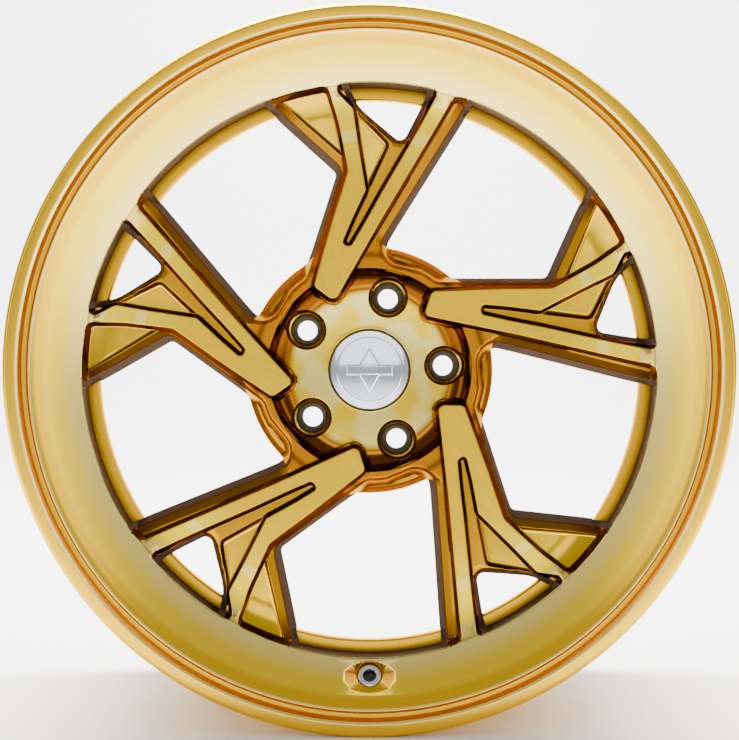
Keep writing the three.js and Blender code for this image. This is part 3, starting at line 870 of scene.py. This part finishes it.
def valve_outline(radius, profile, front):
    """Where a cylinder round the valve axis meets the front or the tyre side of the lip."""
    rows = profile[profile[:, 1] < 29] if front else profile[profile[:, 1] > 34]
    order = np.argsort(rows[:, 0])
    radii, depths = rows[order, 0], rows[order, 1]
    result = []
    for k in range(valve_steps):
        a = 2 * math.pi * k / valve_steps
        low, high = -15.0, 45.0
        for _ in range(40):
            depth = (low + high) / 2
            ring = np.array([radius * math.sin(a), depth + front_y, radius * math.cos(a)])
            point = valve_place(ring)
            surface = float(np.interp(math.hypot(point[0], point[2]), radii, depths))
            outside = point[1] - front_y < surface
            low, high = (depth, high) if outside else (low, depth)
        result.append(point)
    return np.array(result)


def valve_circle(radius, depth):
    """Points round the valve axis, at a depth along it."""
    angles = 2 * np.pi * np.arange(valve_steps) / valve_steps
    ring = np.stack([radius * np.sin(angles), np.full(valve_steps, depth + front_y),
                     radius * np.cos(angles)], axis=1)
    return valve_place(ring)


def add_patch(build, profile, front, outline):
    """The part of the lip round the valve hole, as a mesh that fits the turned lip's own edges."""
    rows = [p for p in profile if (patch_rows[0] - 0.1 < p[0] < patch_rows[1] and p[1] < 29 if front
                                   else rear_rows[0] < p[0] < rear_rows[1] and 35.8 < p[1])]
    rows = np.array(sorted(rows, key=lambda p: p[0]))
    middle = patch_centre_step()
    steps = np.arange(middle - patch_half_steps, middle + patch_half_steps + 1)
    angles = wedge_start + 2 * np.pi * steps / ring_steps
    ends = [[(r, a) for a in angles] for r in (rows[0][0], rows[-1][0])]
    sides = [[(r, a) for r in rows[:, 0]] for a in (angles[0], angles[-1])]
    rim = ends[0][:-1] + sides[1][:-1] + ends[1][:0:-1] + sides[0][:0:-1]
    rim = np.array([[r * math.sin(a), r * math.cos(a)] for r, a in rim])
    guides = Guides()
    guides.add(rim, np.ones(len(rim), bool))
    hole = outline[:, [0, 2]]
    guides.add(hole, np.ones(len(hole), bool))
    out = delaunay_2d_cdt([Vector(p) for p in guides.points], guides.edges, [], 0, 1e-5, False)
    plan, faces = np.array([tuple(p) for p in out[0]]), np.array(out[2])
    centres = plan[faces].mean(axis=1)
    faces = faces[(distance(centres, hole) > 0) & (distance(centres, rim) < 0)]
    radius = np.linalg.norm(plan, axis=1)
    depth = np.interp(radius, rows[:, 0], rows[:, 1])
    slope = (np.interp(radius + 0.6, rows[:, 0], rows[:, 1])
             - np.interp(radius - 0.6, rows[:, 0], rows[:, 1])) / 1.2
    normals = unit(np.stack([slope * plan[:, 0] / radius, -np.ones(len(plan)),
                             slope * plan[:, 1] / radius], axis=1))
    if not front:
        faces, normals = faces[:, ::-1], -normals
    build.add(in_space(plan, depth), [tuple(f) for f in faces], [normals[list(f)] for f in faces])


def add_valve_hole(build, profile):
    """The leaning valve hole, with its spot face in front and its seat on the tyre side."""
    mouth = valve_outline(valve_spot_radius + mouth_chamfer, profile, True)
    seat = valve_outline(valve_seat_radius, profile, False)
    add_patch(build, profile, True, mouth)
    add_patch(build, profile, False, seat)
    chamfer = valve_outline(valve_spot_radius, profile, True)
    chamfer = chamfer + mouth_chamfer * np.array([0.0, valve_lean[1], -valve_lean[0]])
    rings = [mouth, chamfer, valve_circle(valve_spot_radius, valve_spot_depth),
             valve_circle(valve_hole_radius, valve_spot_depth),
             valve_circle(valve_hole_radius, valve_wall), valve_circle(valve_seat_radius, valve_wall),
             seat]
    for first, second in zip(rings, rings[1:]):
        count = len(first)
        points = np.concatenate([first, second])
        faces = [(i, (i + 1) % count, count + (i + 1) % count, count + i) for i in range(count)]
        build.add(points, faces, tube_normals(points, faces), BACK)


def tube_normals(points, faces):
    """Corner normals of one ring of faces, smooth round the ring."""
    own = np.array([n[0] for n in flat_normals(points, faces)])
    before, after = unit(own + np.roll(own, 1, axis=0)), unit(own + np.roll(own, -1, axis=0))
    return [np.array([b, a, a, b]) for b, a in zip(before, after)]


# ---------- finishes ----------
def material(name, metallic, rough):
    """A new node material, its node tree and its shader."""
    made = bpy.data.materials.new(name)
    made.use_nodes = True
    shader = made.node_tree.nodes["Principled BSDF"]
    shader.inputs["Metallic"].default_value = metallic
    shader.inputs["Roughness"].default_value = rough
    return made, made.node_tree, shader


def link(tree, source, target):
    tree.links.new(source, target)


def feed(tree, value, socket):
    """Sets a socket to a number or a colour, or links another socket to it."""
    if isinstance(value, bpy.types.NodeSocket):
        link(tree, value, socket)
    elif isinstance(value, tuple):
        socket.default_value = (*value, 1.0)
    else:
        socket.default_value = value


def value_of(tree, name):
    """One of the mesh's named values."""
    node = tree.nodes.new("ShaderNodeAttribute")
    node.attribute_name = name
    return node.outputs["Fac"]


def blended(tree, amount, first, second):
    """A colour mixed from two, each a socket or a colour."""
    node = tree.nodes.new("ShaderNodeMix")
    node.data_type = "RGBA"
    for index, value in ((0, amount), (6, first), (7, second)):
        feed(tree, value, node.inputs[index])
    return node.outputs[2]


def number(tree, operation, first, second=0.0, third=0.0):
    node = tree.nodes.new("ShaderNodeMath")
    node.operation = operation
    for socket, value in zip(node.inputs, (first, second, third)):
        feed(tree, value, socket)
    return node.outputs[0]


def times(tree, first, second):
    return number(tree, "MULTIPLY", first, second)


def noise(tree, scale, vector=None, detail=3.0):
    node = tree.nodes.new("ShaderNodeTexNoise")
    node.inputs["Scale"].default_value = scale
    node.inputs["Detail"].default_value = detail
    if vector is None:
        vector = tree.nodes.new("ShaderNodeTexCoord").outputs["Object"]
    link(tree, vector, node.inputs["Vector"])
    return node.outputs["Fac"]


def vector_of(tree, x, y):
    node = tree.nodes.new("ShaderNodeCombineXYZ")
    for socket, value in zip(node.inputs, (x, y)):
        feed(tree, value, socket)
    return node.outputs[0]


def bumped(tree, shader, height, distance_mm, strength):
    node = tree.nodes.new("ShaderNodeBump")
    node.inputs["Strength"].default_value = strength
    node.inputs["Distance"].default_value = distance_mm * MM
    link(tree, height, node.inputs["Height"])
    link(tree, node.outputs["Normal"], shader.inputs["Normal"])


LIP_GOLD = (0.84, 0.49, 0.0005)
# Darker gold for the rim groove: painted shade.
GROOVE_SHADE_GOLD = (0.66, 0.35, 0.001)
# The lip's yellow and pale tones are painted reflections, palest next to the windows.
LIP_YELLOW = (0.97, 0.66, 0.015)
PALE_HIGHLIGHT = (0.97, 0.74, 0.20)
PAD_GOLD = (0.69, 0.405, 0.0003)
# The pads' bright and pale tones are painted reflections; the bright tone also colours the brushing
# streaks.
PAD_BRIGHT = (1.0, 0.72, 0.002)
PAD_REFLECTION_PALE = (1.0, 0.80, 0.16)
POCKET_GOLD = (0.76, 0.46, 0.0004)
WEB_GOLD = (0.48, 0.235, 0.001)
# Darker tone where the web and sides tilt: painted shade.
SIDE_SHADE_GOLD = (0.27, 0.130, 0.001)
HUB_GOLD = (1.0, 0.66, 0.003)
# Pale patches on the hub floor: painted highlights.
HUB_HIGHLIGHT_PALE = (1.0, 0.80, 0.20)
RING_GOLD = (0.40, 0.205, 0.001)
# Pale tone at the bolt hole mouths: painted highlight.
SEAT_HIGHLIGHT_GOLD = (0.92, 0.66, 0.12)
# Painted shadow in the hollow of the bowl round the cap.
BOWL_SHADE_BROWN = (0.13, 0.038, 0.002)
REAR_GOLD = (0.42, 0.155, 0.001)
# Painted shade in creases and on steep sides, and also the dark of the brushing streaks.
SHADE_AND_GRAIN_BROWN = (0.040, 0.010, 0.001)
# Dull dark brown for the drafted window sides: painted shadow.
DRAFT_SHADE_BROWN = (0.075, 0.045, 0.028)
GOLD_EDGE = (1.0, 0.62, 0.06)

# Bands round the wheel axis as (inner radius, outer radius, width that each edge fades over).
# The lip step and the flange edge below carry painted highlights.
LIP_STEP = (241.8, 243.2, 0.5)
# The rim groove takes painted shade.
RIM_GROOVE = (243.6, 249.6, 0.8)
FLANGE_EDGE = (250.2, 251.8, 0.6)
BOWL_SHADOW = (65.5, 72.5, 3.0)
# A pale painted reflection across the pads.
PAD_REFLECTION_BAND = (169.0, 176.0, 1.0)
# Radii between which one colour passes into the next.
# The lip passes here from a pale painted reflection to yellow, then deepens to gold.
LIP_SHEEN_FADES = (window_radius + 2, window_radius + 18)
LIP_DEEPENS = (window_radius + 22, window_radius + 27)
# The hub floor passes into painted shade here.
FLOOR_INTO_SHADE = (55.5, 61.5)
# The pads brighten towards the lip and turn pale at the tip: painted reflections.
PAD_SHEEN_GROWS = (130.0, 185.0)
PAD_TIP_HIGHLIGHT = (197.0, 200.0)
FACE_ROUGHNESS = 0.27


def gold_face():
    """Candy gold over brushed metal, brushed on the pads, with painted light: pale painted reflections
    on the lip and pads, painted highlights on the hub floor and bolt seats, and painted shade in the
    corners, on tilted and steep sides and in the bowl.
    """
    made, tree, shader = material("gold_face", 1.0, FACE_ROUGHNESS)
    feed(tree, GOLD_EDGE, shader.inputs["Specular Tint"])
    radius = radius_of(tree)
    on_lip = number(tree, "GREATER_THAN", radius, (window_radius - 0.6) * MM)
    # Painted reflection: the lip is pale next to the windows, then yellow, then deep gold further out.
    yellow = blended(tree, passing(tree, radius, LIP_SHEEN_FADES), PALE_HIGHLIGHT, LIP_YELLOW)
    lip = blended(tree, passing(tree, radius, LIP_DEEPENS), yellow, LIP_GOLD)
    # Painted shade in the rim groove, and painted highlights along the lip step and the flange edge.
    for limits, tone in ((RIM_GROOVE, GROOVE_SHADE_GOLD), (LIP_STEP, PALE_HIGHLIGHT), (FLANGE_EDGE, PALE_HIGHLIGHT)):
        lip = blended(tree, band(tree, radius, limits), lip, tone)
    on_rear = number(tree, "LESS_THAN", radius, ring_radius * MM)
    # Painted shade: the web darkens where its surface tilts away from facing along the wheel axis.
    tilt_shade = ramp(tree, steepness(tree), 0.008, 0.10)
    side = blended(tree, on_rear, blended(tree, tilt_shade, WEB_GOLD, SIDE_SHADE_GOLD), REAR_GOLD)
    colour = blended(tree, on_lip, side, lip)
    # Painted highlights: pale swirls over the hub floor.
    highlight_swirl = ramp(tree, noise(tree, 32.0, detail=1.0), 0.42, 0.56)
    floor = blended(tree, highlight_swirl, HUB_GOLD, HUB_HIGHLIGHT_PALE)
    # Painted shade: the floor darkens into the bowl's hollow, with a painted shadow band in it.
    bowl = blended(tree, band(tree, radius, BOWL_SHADOW), REAR_GOLD, BOWL_SHADE_BROWN)
    floor = blended(tree, passing(tree, radius, FLOOR_INTO_SHADE), floor, bowl)
    # Painted reflections: the pads brighten towards the lip, with a pale band and a pale tip.
    pad = blended(tree, passing(tree, radius, PAD_SHEEN_GROWS), PAD_GOLD, PAD_BRIGHT)
    pad = blended(tree, band(tree, radius, PAD_REFLECTION_BAND), pad, PAD_REFLECTION_PALE)
    pad = blended(tree, passing(tree, radius, PAD_TIP_HIGHLIGHT), pad, PALE_HIGHLIGHT)
    for name, tone in (("hub", floor), ("ring", RING_GOLD), ("pocket", POCKET_GOLD), ("pad", pad)):
        colour = blended(tree, value_of(tree, name), colour, tone)
    # Painted shade along the web's join to the ring and in the creases.
    for name, share in (("shade", 0.75), ("crease", 0.92)):
        colour = blended(tree, times(tree, value_of(tree, name), share), colour, SHADE_AND_GRAIN_BROWN)
    # Painted shade on steep sides, kept off the bolt seats.
    inside = number(tree, "LESS_THAN", radius, (window_radius + 2.5) * MM)
    steep_shade = times(tree, ramp(tree, steepness(tree), 0.16, 0.45), inside)
    steep_shade = times(tree, steep_shade, number(tree, "SUBTRACT", 0.97, value_of(tree, "lug")))
    colour = blended(tree, steep_shade, colour, SHADE_AND_GRAIN_BROWN)
    # Painted highlight on the bolt hole mouths.
    colour = blended(tree, value_of(tree, "lug"), colour, SEAT_HIGHLIGHT_GOLD)
    brush_at = vector_of(tree, times(tree, value_of(tree, "across"), 2.6),
                         times(tree, value_of(tree, "along"), 0.05))
    brush = noise(tree, 1.0, brush_at, 4.0)
    streaks = blended(tree, brush, SHADE_AND_GRAIN_BROWN, PAD_BRIGHT)
    tinted = blended(tree, times(tree, value_of(tree, "pad"), 0.35), colour, streaks)
    link(tree, tinted, shader.inputs["Base Color"])
    grain = times(tree, brush, value_of(tree, "pad"))
    height = number(tree, "ADD", grain, times(tree, noise(tree, 900.0), 0.05))
    bumped(tree, shader, height, 0.02, 0.6)
    rough = FACE_ROUGHNESS
    for name, change in (("pocket", -0.12), ("hub", -0.12), ("pad", 0.10)):
        rough = number(tree, "MULTIPLY_ADD", value_of(tree, name), change, rough)
    link(tree, rough, shader.inputs["Roughness"])
    return made


def ramp(tree, value, low, high):
    """0 below low, 1 above high and smooth between."""
    node = tree.nodes.new("ShaderNodeMapRange")
    node.interpolation_type = "SMOOTHSTEP"
    link(tree, value, node.inputs["Value"])
    node.inputs["From Min"].default_value = low
    node.inputs["From Max"].default_value = high
    return node.outputs["Result"]


def passing(tree, radius, limits):
    """0 inside the first of two radii and 1 outside the second."""
    return ramp(tree, radius, limits[0] * MM, limits[1] * MM)


def band(tree, radius, limits):
    """1 between two radii, falling to 0 over the width outside them."""
    low, high, soft = limits
    return number(tree, "SUBTRACT", passing(tree, radius, (low - soft, low)),
                  passing(tree, radius, (high, high + soft)))


def steepness(tree):
    """0 where a surface faces along the wheel axis, 1 where it faces across it."""
    split = tree.nodes.new("ShaderNodeSeparateXYZ")
    link(tree, tree.nodes.new("ShaderNodeTexCoord").outputs["Normal"], split.inputs[0])
    return number(tree, "SUBTRACT", 1.0, number(tree, "ABSOLUTE", split.outputs["Y"]))


def radius_of(tree):
    """Distance from the wheel axis, in metres."""
    place = tree.nodes.new("ShaderNodeTexCoord").outputs["Object"]
    flat = tree.nodes.new("ShaderNodeVectorMath")
    flat.operation = "MULTIPLY"
    flat.inputs[1].default_value = (1.0, 0.0, 1.0)
    link(tree, place, flat.inputs[0])
    length = tree.nodes.new("ShaderNodeVectorMath")
    length.operation = "LENGTH"
    link(tree, flat.outputs[0], length.inputs[0])
    return length.outputs["Value"]


def mottled_metal(name, dark, light, rough, scale, metallic=1.0, rings=0.0, edge=None):
    """Metal whose colour and gloss vary a little, with turning marks round the wheel axis if asked."""
    made, tree, shader = material(name, metallic, rough)
    if edge:
        feed(tree, edge, shader.inputs["Specular Tint"])
    cloud = noise(tree, scale)
    link(tree, blended(tree, cloud, dark, light), shader.inputs["Base Color"])
    link(tree, number(tree, "MULTIPLY_ADD", cloud, 0.12, rough - 0.06), shader.inputs["Roughness"])
    if rings:
        marks = noise(tree, 1.0, vector_of(tree, times(tree, radius_of(tree), rings), 0.0))
        bumped(tree, shader, marks, 0.02, 0.5)
    else:
        bumped(tree, shader, noise(tree, scale * 12), 0.01, 0.3)
    return made


def dull(name, dark, light, rough, scale, grain, depth, strength):
    """A finish that isn't metal, with a fine grain, and its shader."""
    made, tree, shader = material(name, 0.0, rough)
    link(tree, blended(tree, noise(tree, scale), dark, light), shader.inputs["Base Color"])
    bumped(tree, shader, noise(tree, grain), depth, strength)
    return made, shader


def draft_shade():
    """The drafted sides of the windows, painted a dull dark brown as painted shadow."""
    dark = tuple(0.8 * c for c in DRAFT_SHADE_BROWN)
    made, shader = dull("gold_shaded_sides", dark, DRAFT_SHADE_BROWN, 0.9, 90.0, 900.0, 0.02, 0.4)
    shader.inputs["Specular IOR Level"].default_value = 0.05
    return made


# ---------- the other pieces ----------
def closed_profile(corners):
    return rounded(corners, 12.0)


def inner_barrel_piece():
    """The spun barrel: joint flange, well, bumps, rear bead seat and rear flange."""
    seat = overall_width - flange_thickness
    well, wall = mating_radius, 5.5
    corners = [
        (201.3, 51.0, 0.8), (202.3, 50.0, 0.8), (well, 50.0, 0.8), (well, 86.0, 14.0),
        (well + 10, 108.0, 14.0), (bead_seat_radius - 2.5, seat - 42, 30.0),
        (bead_seat_radius + 0.4, seat - 24, 1.6), (bead_seat_radius - 1.2, seat - 20, 2.4),
        (bead_seat_radius, seat - 5.5, 2.0), (bead_seat_radius + 5.8, seat, 3.0),
        (flange_radius - 2.6, seat, 1.0), (flange_radius, seat + 2.4, 1.0),
        (flange_radius, overall_width - 2.5, 2.0), (flange_radius - 2.5, overall_width, 1.0),
        (flange_radius - 9, overall_width, 2.5), (bead_seat_radius - wall, seat - 4, 6.0),
        (bead_seat_radius - 2.5 - wall, seat - 42, 30.0), (well + 10 - wall, 110.0, 14.0),
        (well - wall, 89.0, 12.0), (well - wall, 58.0, 2.5), (201.3, 58.0, 0.8)]
    build = Build()
    turned(build, closed_profile(corners), 240)
    return build


def lug_place(k):
    a = lug_angle + k * pitch
    shift = lug_circle_radius * np.array([math.sin(a), 0.0, math.cos(a)])
    return lambda points, moved=True: points + shift if moved else points


def lug_seat_piece(k):
    """A hard insert with the cone that the wheel bolt seats on."""
    corners = [(7.5, 72.5, 0.5), (10.9, 64.5, 0.5), (11.25, 64.5, 0.2), (11.7, 64.95, 0.2),
               (11.7, 79.0, 0.4), (7.5, 79.0, 0.4)]
    build = Build()
    turned(build, closed_profile(corners), 64, place=lug_place(k))
    return build


def cap_shell_piece():
    """The moulded cap: a flange with a fine rim, a short skirt and six legs."""
    build = Build()
    corners = [(0.0, 60.3, 0.0), (29.5, 60.3, 0.2), (29.5, 58.4, 0.15), (30.1, 58.4, 0.2),
               (30.1, 61.7, 0.3), (28.1, 61.7, 0.0), (28.1, 63.2, 0.2), (26.5, 63.2, 0.2),
               (26.5, 61.7, 0.3), (0.0, 61.7, 0.0)]
    turned(build, rounded(corners, 12.0), 120)
    for k in range(6):
        add_leg(build, math.radians(60 * k + 30))
    return build


def add_leg(build, middle, half_angle=0.42, steps=10):
    """One springy leg: a curved bar with rounded ends."""
    section = rounded([(26.5, 62.9, 0.0), (28.1, 62.9, 0.0), (28.1, 71.2, 0.5), (26.5, 71.2, 0.5)], 9.0)
    count = len(section)
    angles = middle + np.linspace(-half_angle, half_angle, steps)
    points = np.concatenate([
        np.stack([section[:, 0] * math.sin(a), section[:, 1] + front_y,
                  section[:, 0] * math.cos(a)], axis=1) for a in angles])
    faces = [(k * count + i, (k + 1) * count + i, (k + 1) * count + (i + 1) % count,
              k * count + (i + 1) % count) for k in range(steps - 1) for i in range(count)]
    last = (steps - 1) * count
    faces += [tuple(range(count - 1, -1, -1)), tuple(range(last, last + count))]
    faces = [tuple(reversed(f)) for f in faces]
    build.add(points, faces, flat_normals(points, faces))


def badge_relief(x, z):
    """Height of a plain raised mark: a bar across the cap and a lozenge behind it."""
    bar = np.maximum(np.abs(x) - 17.0, np.abs(z) - 3.4)
    lozenge = (np.abs(x) * 1.7 + np.abs(z) - 16.0) / 1.97
    ring = np.abs(np.hypot(x, z) - 24.0) - 0.7
    raised = 0.55 * np.clip(0.5 - bar / 0.8, 0, 1)
    raised = np.maximum(raised, 0.35 * np.clip(0.5 - lozenge / 0.8, 0, 1))
    return np.maximum(raised, 0.2 * np.clip(0.5 - ring / 0.5, 0, 1))


def badge_piece():
    """The chromed badge: a shallow dome with a plain relief, standing in for the maker's own."""
    radius, edge, dome = 29.2, 59.2, 1.55
    rings, steps = 70, 180
    build = Build()
    shares = np.linspace(0, 1, rings + 1)[1:]
    angles = 2 * np.pi * np.arange(steps) / steps
    plan = np.array([[r * radius * math.sin(a), r * radius * math.cos(a)]
                     for r in shares for a in angles] + [[0.0, 0.0]])

    def surface(p):
        share = np.linalg.norm(p, axis=1) / radius
        return edge - dome * (1 - share ** 2) - badge_relief(p[:, 0], p[:, 1]) * (share < 0.97)

    normals = slope_normals(surface, plan, 0.1)
    faces = [(len(plan) - 1, (i + 1) % steps, i)[::-1] for i in range(steps)]
    for r in range(rings - 1):
        for i in range(steps):
            j = (i + 1) % steps
            faces.append((r * steps + i, r * steps + j, (r + 1) * steps + j, (r + 1) * steps + i))
    build.add(in_space(plan, surface(plan)), faces, [normals[list(f)] for f in faces])
    corners = [(radius, edge, 0.0), (radius, 60.0, 0.1), (0.0, 60.0, 0.0)]
    turned(build, rounded(corners, 30.0, closed=False), steps, closed=False)
    return build


def valve_piece(corners, steps=48):
    build = Build()
    turned(build, closed_profile(corners), steps, place=valve_place)
    return build


def valve_nut_piece():
    corners = [(4.9, 1.2, 0.3), (7.4, 0.9, 0.5), (8.6, 1.5, 0.4), (8.6, 2.7, 0.2), (5.3, 2.7, 0.2),
               (5.3, 13.7, 0.3), (3.9, 13.7, 0.1), (3.9, 11.2, 0.1), (4.9, 11.2, 0.1)]
    return valve_piece(corners)


def valve_cap_piece():
    corners = [(0.0, 6.0, 0.0), (3.3, 6.0, 0.5), (4.5, 6.9, 0.4), (4.5, 10.9, 0.2),
               (3.9, 10.9, 0.1), (3.9, 7.5, 0.1), (0.0, 7.5, 0.0)]
    return valve_piece(corners)


def bolt_piece(k):
    """An assembly bolt: shank, washer face and a head with a hollow end, turned round in place of twelve
    points.
    """
    angle = (k + 0.5) * 2 * math.pi / 20
    shift = 214.0 * np.array([math.sin(angle), 0.0, math.cos(angle)])

    def place(points, moved=True):
        return points + shift if moved else points

    build = Build()
    corners = [(0.0, 36.0, 0.0), (2.9, 36.0, 0.0), (3.5, 36.6, 0.1), (3.5, 58.3, 0.1),
               (4.9, 58.3, 0.2), (4.9, 59.3, 0.3), (4.1, 59.4, 0.2), (4.1, 63.9, 0.5),
               (2.2, 64.3, 0.2), (1.9, 62.4, 0.2), (0.0, 62.4, 0.0)]
    turned(build, rounded(corners, 30.0), 24, place=place)
    return build


# ---------- assembly ----------
def placed_piece(build, name, body, slot, materials, *nodes):
    obj = build.piece(name, materials)
    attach(obj, body)
    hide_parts(*nodes)


gold = gold_face()
gold_back = mottled_metal("gold_machined", (0.40, 0.16, 0.002), (0.52, 0.24, 0.004), 0.40, 40.0,
                          edge=GOLD_EDGE)
gold_draft_shade = draft_shade()
gold_ring = mottled_metal("gold_ring", (0.40, 0.20, 0.001), (0.50, 0.25, 0.001), 0.40, 40.0,
                          edge=GOLD_EDGE)
gold_wall = mottled_metal("gold_in_shade", (0.030, 0.009, 0.001), (0.055, 0.018, 0.002), 0.8, 60.0,
                          0.0, edge=GOLD_EDGE)
gold_turned = mottled_metal("gold_turned", (0.58, 0.31, 0.001), (0.68, 0.37, 0.001), 0.30, 30.0,
                            rings=1400.0, edge=GOLD_EDGE)
steel = mottled_metal("zinc_plate", (0.50, 0.51, 0.52), (0.62, 0.63, 0.64), 0.30, 200.0)
seat_bronze = mottled_metal("bronze_seat", (0.030, 0.019, 0.004), (0.055, 0.036, 0.008), 0.7, 300.0, 0.2,
                            edge=(0.6, 0.5, 0.3))
chrome = mottled_metal("chrome_plate", (0.60, 0.65, 0.75), (0.92, 0.94, 0.98), 0.07, 55.0)
aluminium = mottled_metal("clear_anodised", (0.62, 0.63, 0.64), (0.70, 0.71, 0.72), 0.28, 250.0)
brass = mottled_metal("turned_brass", (0.62, 0.42, 0.14), (0.72, 0.51, 0.20), 0.28, 300.0)
rubber_black = dull("matt_rubber", (0.012, 0.012, 0.012), (0.03, 0.03, 0.03), 0.7, 150.0, 1500.0,
                    0.02, 0.4)[0]
plastic = dull("moulded_plastic", (0.010, 0.010, 0.012), (0.022, 0.022, 0.025), 0.38, 120.0, 2200.0,
               0.012, 0.35)[0]

placed_piece(forged_face(), "forged_wheel_face", "wheel", "gold_forging",
             [gold, gold_back, gold_draft_shade, gold_wall, gold_ring], "forged_face")
placed_piece(inner_barrel_piece(), "spun_barrel", "wheel", "gold_barrel", [gold_turned], "inner_barrel")
for k in range(spoke_count):
    placed_piece(lug_seat_piece(k), f"bolt_seat_{k + 1}", "wheel", "seat_steel", [seat_bronze],
                 f"lug_seat_{k + 1}")
for k in range(20):
    placed_piece(bolt_piece(k), f"assembly_bolt_{k + 1:02d}", "wheel", "bolt_steel", [steel],
                 f"barrel_bolt_{k + 1:02d}")
placed_piece(cap_shell_piece(), "cap_shell", "centre_cap", "black_plastic", [plastic], "cap_body")
placed_piece(badge_piece(), "cap_emblem", "centre_cap", "cap_chrome", [chrome], "cap_badge")
placed_piece(valve_nut_piece(), "valve_sleeve_nut", "wheel", "valve_aluminium", [aluminium], "valve_nut")
placed_piece(valve_cap_piece(), "valve_dust_cap", "valve_cap", "black_plastic", [plastic], "valve_cap")

KEPT = {"barrel_seal": rubber_black, "valve_grommet": rubber_black, "valve_washer": steel,
        "cap_spring_ring": steel, "valve_stem": aluminium, "valve_core": brass, "valve_core_pin": brass}
for node, finish in KEPT.items():
    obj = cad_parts[node]
    obj.data.materials.clear()
    obj.data.materials.append(finish)
    edge = obj.modifiers.new("edges", "BEVEL")
    edge.width = 0.15 * MM
    edge.segments = 2
    edge.limit_method = "ANGLE"

# ---------- studio ----------
floor_z = face_low.z
floor_width = 12.0


def studio_floor():
    """A pale floor that sweeps up behind the wheel."""
    points = [(-3.0, 0.0)]
    turn, rise = 2.2, 5.0
    for i in range(25):
        a = math.pi / 2 * i / 24
        points.append((turn + 1.6 * math.sin(a), 1.6 * (1 - math.cos(a))))
    points.append((turn + 1.6, rise))
    points.insert(0, (-9.0, 0.0))
    verts = [(x, y, floor_z + z) for y, z in points for x in (-floor_width, floor_width)]
    faces = [(2 * i, 2 * i + 1, 2 * i + 3, 2 * i + 2) for i in range(len(points) - 1)]
    mesh = bpy.data.meshes.new("studio_floor")
    mesh.from_pydata(verts, [], faces)
    mesh.polygons.foreach_set("use_smooth", [True] * len(faces))
    obj = bpy.data.objects.new("studio_floor", mesh)
    bpy.context.scene.collection.objects.link(obj)
    made, tree, shader = material("pale_floor", 0.0, 0.85)
    cloud = noise(tree, 1.2)
    link(tree, blended(tree, cloud, (0.87, 0.87, 0.86), (0.90, 0.90, 0.89)), shader.inputs["Base Color"])
    mesh.materials.append(made)


def area_light(name, place, target, width, height, watts):
    data = bpy.data.lights.new(name, "AREA")
    data.shape = "RECTANGLE"
    data.size, data.size_y = width, height
    data.energy = watts
    obj = bpy.data.objects.new(name, data)
    obj.location = place
    obj.rotation_euler = (Vector(target) - Vector(place)).to_track_quat("-Z", "Y").to_euler()
    bpy.context.scene.collection.objects.link(obj)


studio_floor()
world = bpy.data.worlds.new("studio")
bpy.context.scene.world = world
world.use_nodes = True
world.node_tree.nodes["Background"].inputs["Color"].default_value = (1.0, 0.99, 0.97, 1.0)
world.node_tree.nodes["Background"].inputs["Strength"].default_value = 0.58
area_light("over_floor", (0.0, 0.45, 2.0), (0.0, -0.7, floor_z), 1.8, 0.5, 190)
area_light("behind_camera", (0.0, -3.2, 0.6), (0.0, 0.0, 0.0), 1.4, 1.0, 8)
area_light("left_side", (-2.2, -0.9, 0.6), (0.0, -0.1, 0.0), 1.0, 2.0, 16)
area_light("right_side", (2.2, -0.9, 0.6), (0.0, -0.1, 0.0), 1.0, 2.0, 16)
area_light("backdrop", (0.0, 1.0, 2.6), (0.0, 3.8, 0.6), 4.0, 0.8, 470)
area_light("backdrop_low", (0.0, 0.9, 2.4), (0.0, 2.4, floor_z), 4.0, 0.6, 200)

# ---------- camera ----------
camera_distance = 0.970
camera_lens = 66.6
camera_data = bpy.data.cameras.new("camera")
camera_data.lens = camera_lens
camera_data.sensor_width = 36.0
camera = bpy.data.objects.new("camera", camera_data)
camera.location = (0.0, front_y * MM - camera_distance, 0.0)
camera.rotation_euler = (math.pi / 2, 0.0, 0.0)
bpy.context.scene.collection.objects.link(camera)
bpy.context.scene.camera = camera

bpy.context.view_layer.update()
